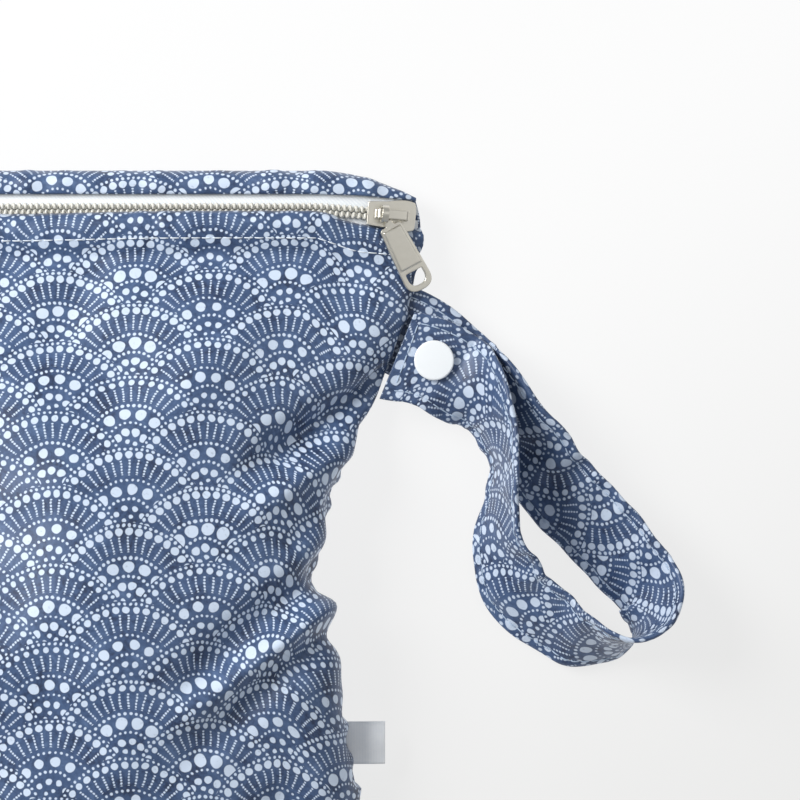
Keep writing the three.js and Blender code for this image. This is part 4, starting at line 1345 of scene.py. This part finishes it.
def turned_disc(name, profile, place, steps=72):
    """A disc turned from a profile of radius and height, closed on its axis."""
    points, faces = [], []
    for radius, height in profile:
        for k in range(steps):
            angle = 2 * math.pi * k / steps
            points.append((radius * math.cos(angle), radius * math.sin(angle), height))
    rings = len(profile)
    for ring in range(rings - 1):
        for k in range(steps):
            ahead = (k + 1) % steps
            faces.append((ring * steps + k, ring * steps + ahead, (ring + 1) * steps + ahead,
                          (ring + 1) * steps + k))
    faces.append(tuple(range(steps))[::-1])
    faces.append(tuple(range((rings - 1) * steps, rings * steps)))
    mesh = bpy.data.meshes.new(name)
    mesh.from_pydata(points, [], faces)
    mesh.transform(to_metres @ place)
    return mesh


def cap_profile(diameter, height):
    r = diameter / 2
    rows = [(r - 0.3, 0.0), (r - 0.05, 0.12), (r, 0.35)]
    for angle in np.linspace(0, math.pi / 2, 7)[1:]:
        rise = CAP_WALL_SHARE + CAP_ROUND_SHARE * math.sin(angle)
        rows.append((r - CAP_EDGE + CAP_EDGE * math.cos(angle), height * rise))
    shoulder = CAP_WALL_SHARE + CAP_ROUND_SHARE
    for share in np.linspace(1, 0.04, 12)[1:]:
        crown = height * (shoulder + (1 - shoulder) * (1 - share**2))
        rows.append(((r - CAP_EDGE) * share, crown))
    return rows


snap_plastic = Paint("snap plastic", roughness=0.32, base_color=(0.88, 0.91, 0.93, 1),
                     subsurface_weight=0.08, specular_ior_level=0.5)
snap_plastic.shader.inputs["Subsurface Radius"].default_value = (0.002, 0.002, 0.002)
snap_point = strap_root + (SNAP_ALONG, -SNAP_BELOW, 0)
clear = STRAP / 2 + FIT_GAP
SNAPS = (
    ("snap_cap", SNAP_DIAMETER, SNAP_CAP_HEIGHT, TOP_LAYER_RISE + clear, 1),
    ("snap_core", SNAP_CORE_DIAMETER, SNAP_CORE_HEIGHT, clear, 1),
    ("snap_back", SNAP_DIAMETER * SNAP_BACK_WIDTH_SHARE, SNAP_CAP_HEIGHT * SNAP_BACK_HEIGHT_SHARE,
     -clear, -1),
)
for name, diameter, height, rise, way in SNAPS:
    place = Matrix.Translation(snap_point + (0, 0, rise))
    if way < 0:
        place = place @ Matrix.Rotation(math.pi, 4, "X")
    snap_mesh = turned_disc(name + "_turned", cap_profile(diameter, height), place)
    finish_piece(name + "_turned", snap_mesh, "bag", [name], snap_plastic.material)

# Side label: a short satin tape, folded in half and caught in the side seam.
LABEL_REACH = 11
LABEL_DROOP = 0.8
LABEL_LAYER = 0.28
LABEL_SIDE_GAP = 0.1
LABEL_COLUMNS = 15
LABEL_CURL = 0.7
LABEL_WAVE = 0.3
label_paint = Paint("satin tape", roughness=0.42, sheen_weight=0.2)
label_paint.weave(label_paint.flat_place(), "X", pitch=0.45, distortion=0.0, rib_share=0.4,
                  cloud_size=2.0, tones=(0.25, 0.75), dark=(0.86, 0.89, 0.93, 1),
                  light=(0.94, 0.96, 0.98, 1), relief=0.05)
label_root = seam_point(LABEL_SHARE)
label_half = (LABEL - LABEL_LAYER) / 2
label_bend = LABEL_REACH - label_half
out_way = np.linspace(-SEWN_IN, label_bend, 30)
label_path = [(x, label_half) for x in out_way]
for t in np.linspace(0, math.pi, 13)[1:-1]:
    label_path.append((label_bend + label_half * math.sin(t), label_half * math.cos(t)))
label_path += [(x, -label_half) for x in out_way[::-1]]
label_path = np.array(label_path)
label_ways = unit(np.gradient(label_path, axis=0))
label_offs = np.stack([-label_ways[:, 1], label_ways[:, 0]], -1)


def label_face(offset):
    across = np.linspace(-0.5, 0.5, LABEL_COLUMNS) * (LABEL_WIDTH - 2 * LABEL_SIDE_GAP)
    path = label_path + label_offs * offset
    x = np.repeat(path[:, :1], LABEL_COLUMNS, 1)
    y = np.repeat(across[None], len(path), 0)
    out = np.clip(x / LABEL_REACH, 0, 1)
    z = np.repeat(path[:, 1:], LABEL_COLUMNS, 1) - LABEL_DROOP * out**2
    z = z + LABEL_CURL * out * np.sin(y * 0.5 + 0.8) - LABEL_WAVE * out * np.sin(x * 0.6)
    return np.stack([x + label_root[0], y + label_root[1], z + label_root[2]], -1), y


label_outer, label_y = label_face(LABEL_LAYER / 2)
label_inner, _ = label_face(-LABEL_LAYER / 2)
label_map = np.stack([np.repeat(arc_lengths(label_path)[:, None], LABEL_COLUMNS, 1), label_y], -1)
label_mesh = cloth_mesh("label", label_outer, label_inner, label_map)
label = finish_piece("label", label_mesh, "bag", ["side_label"], label_paint.material)
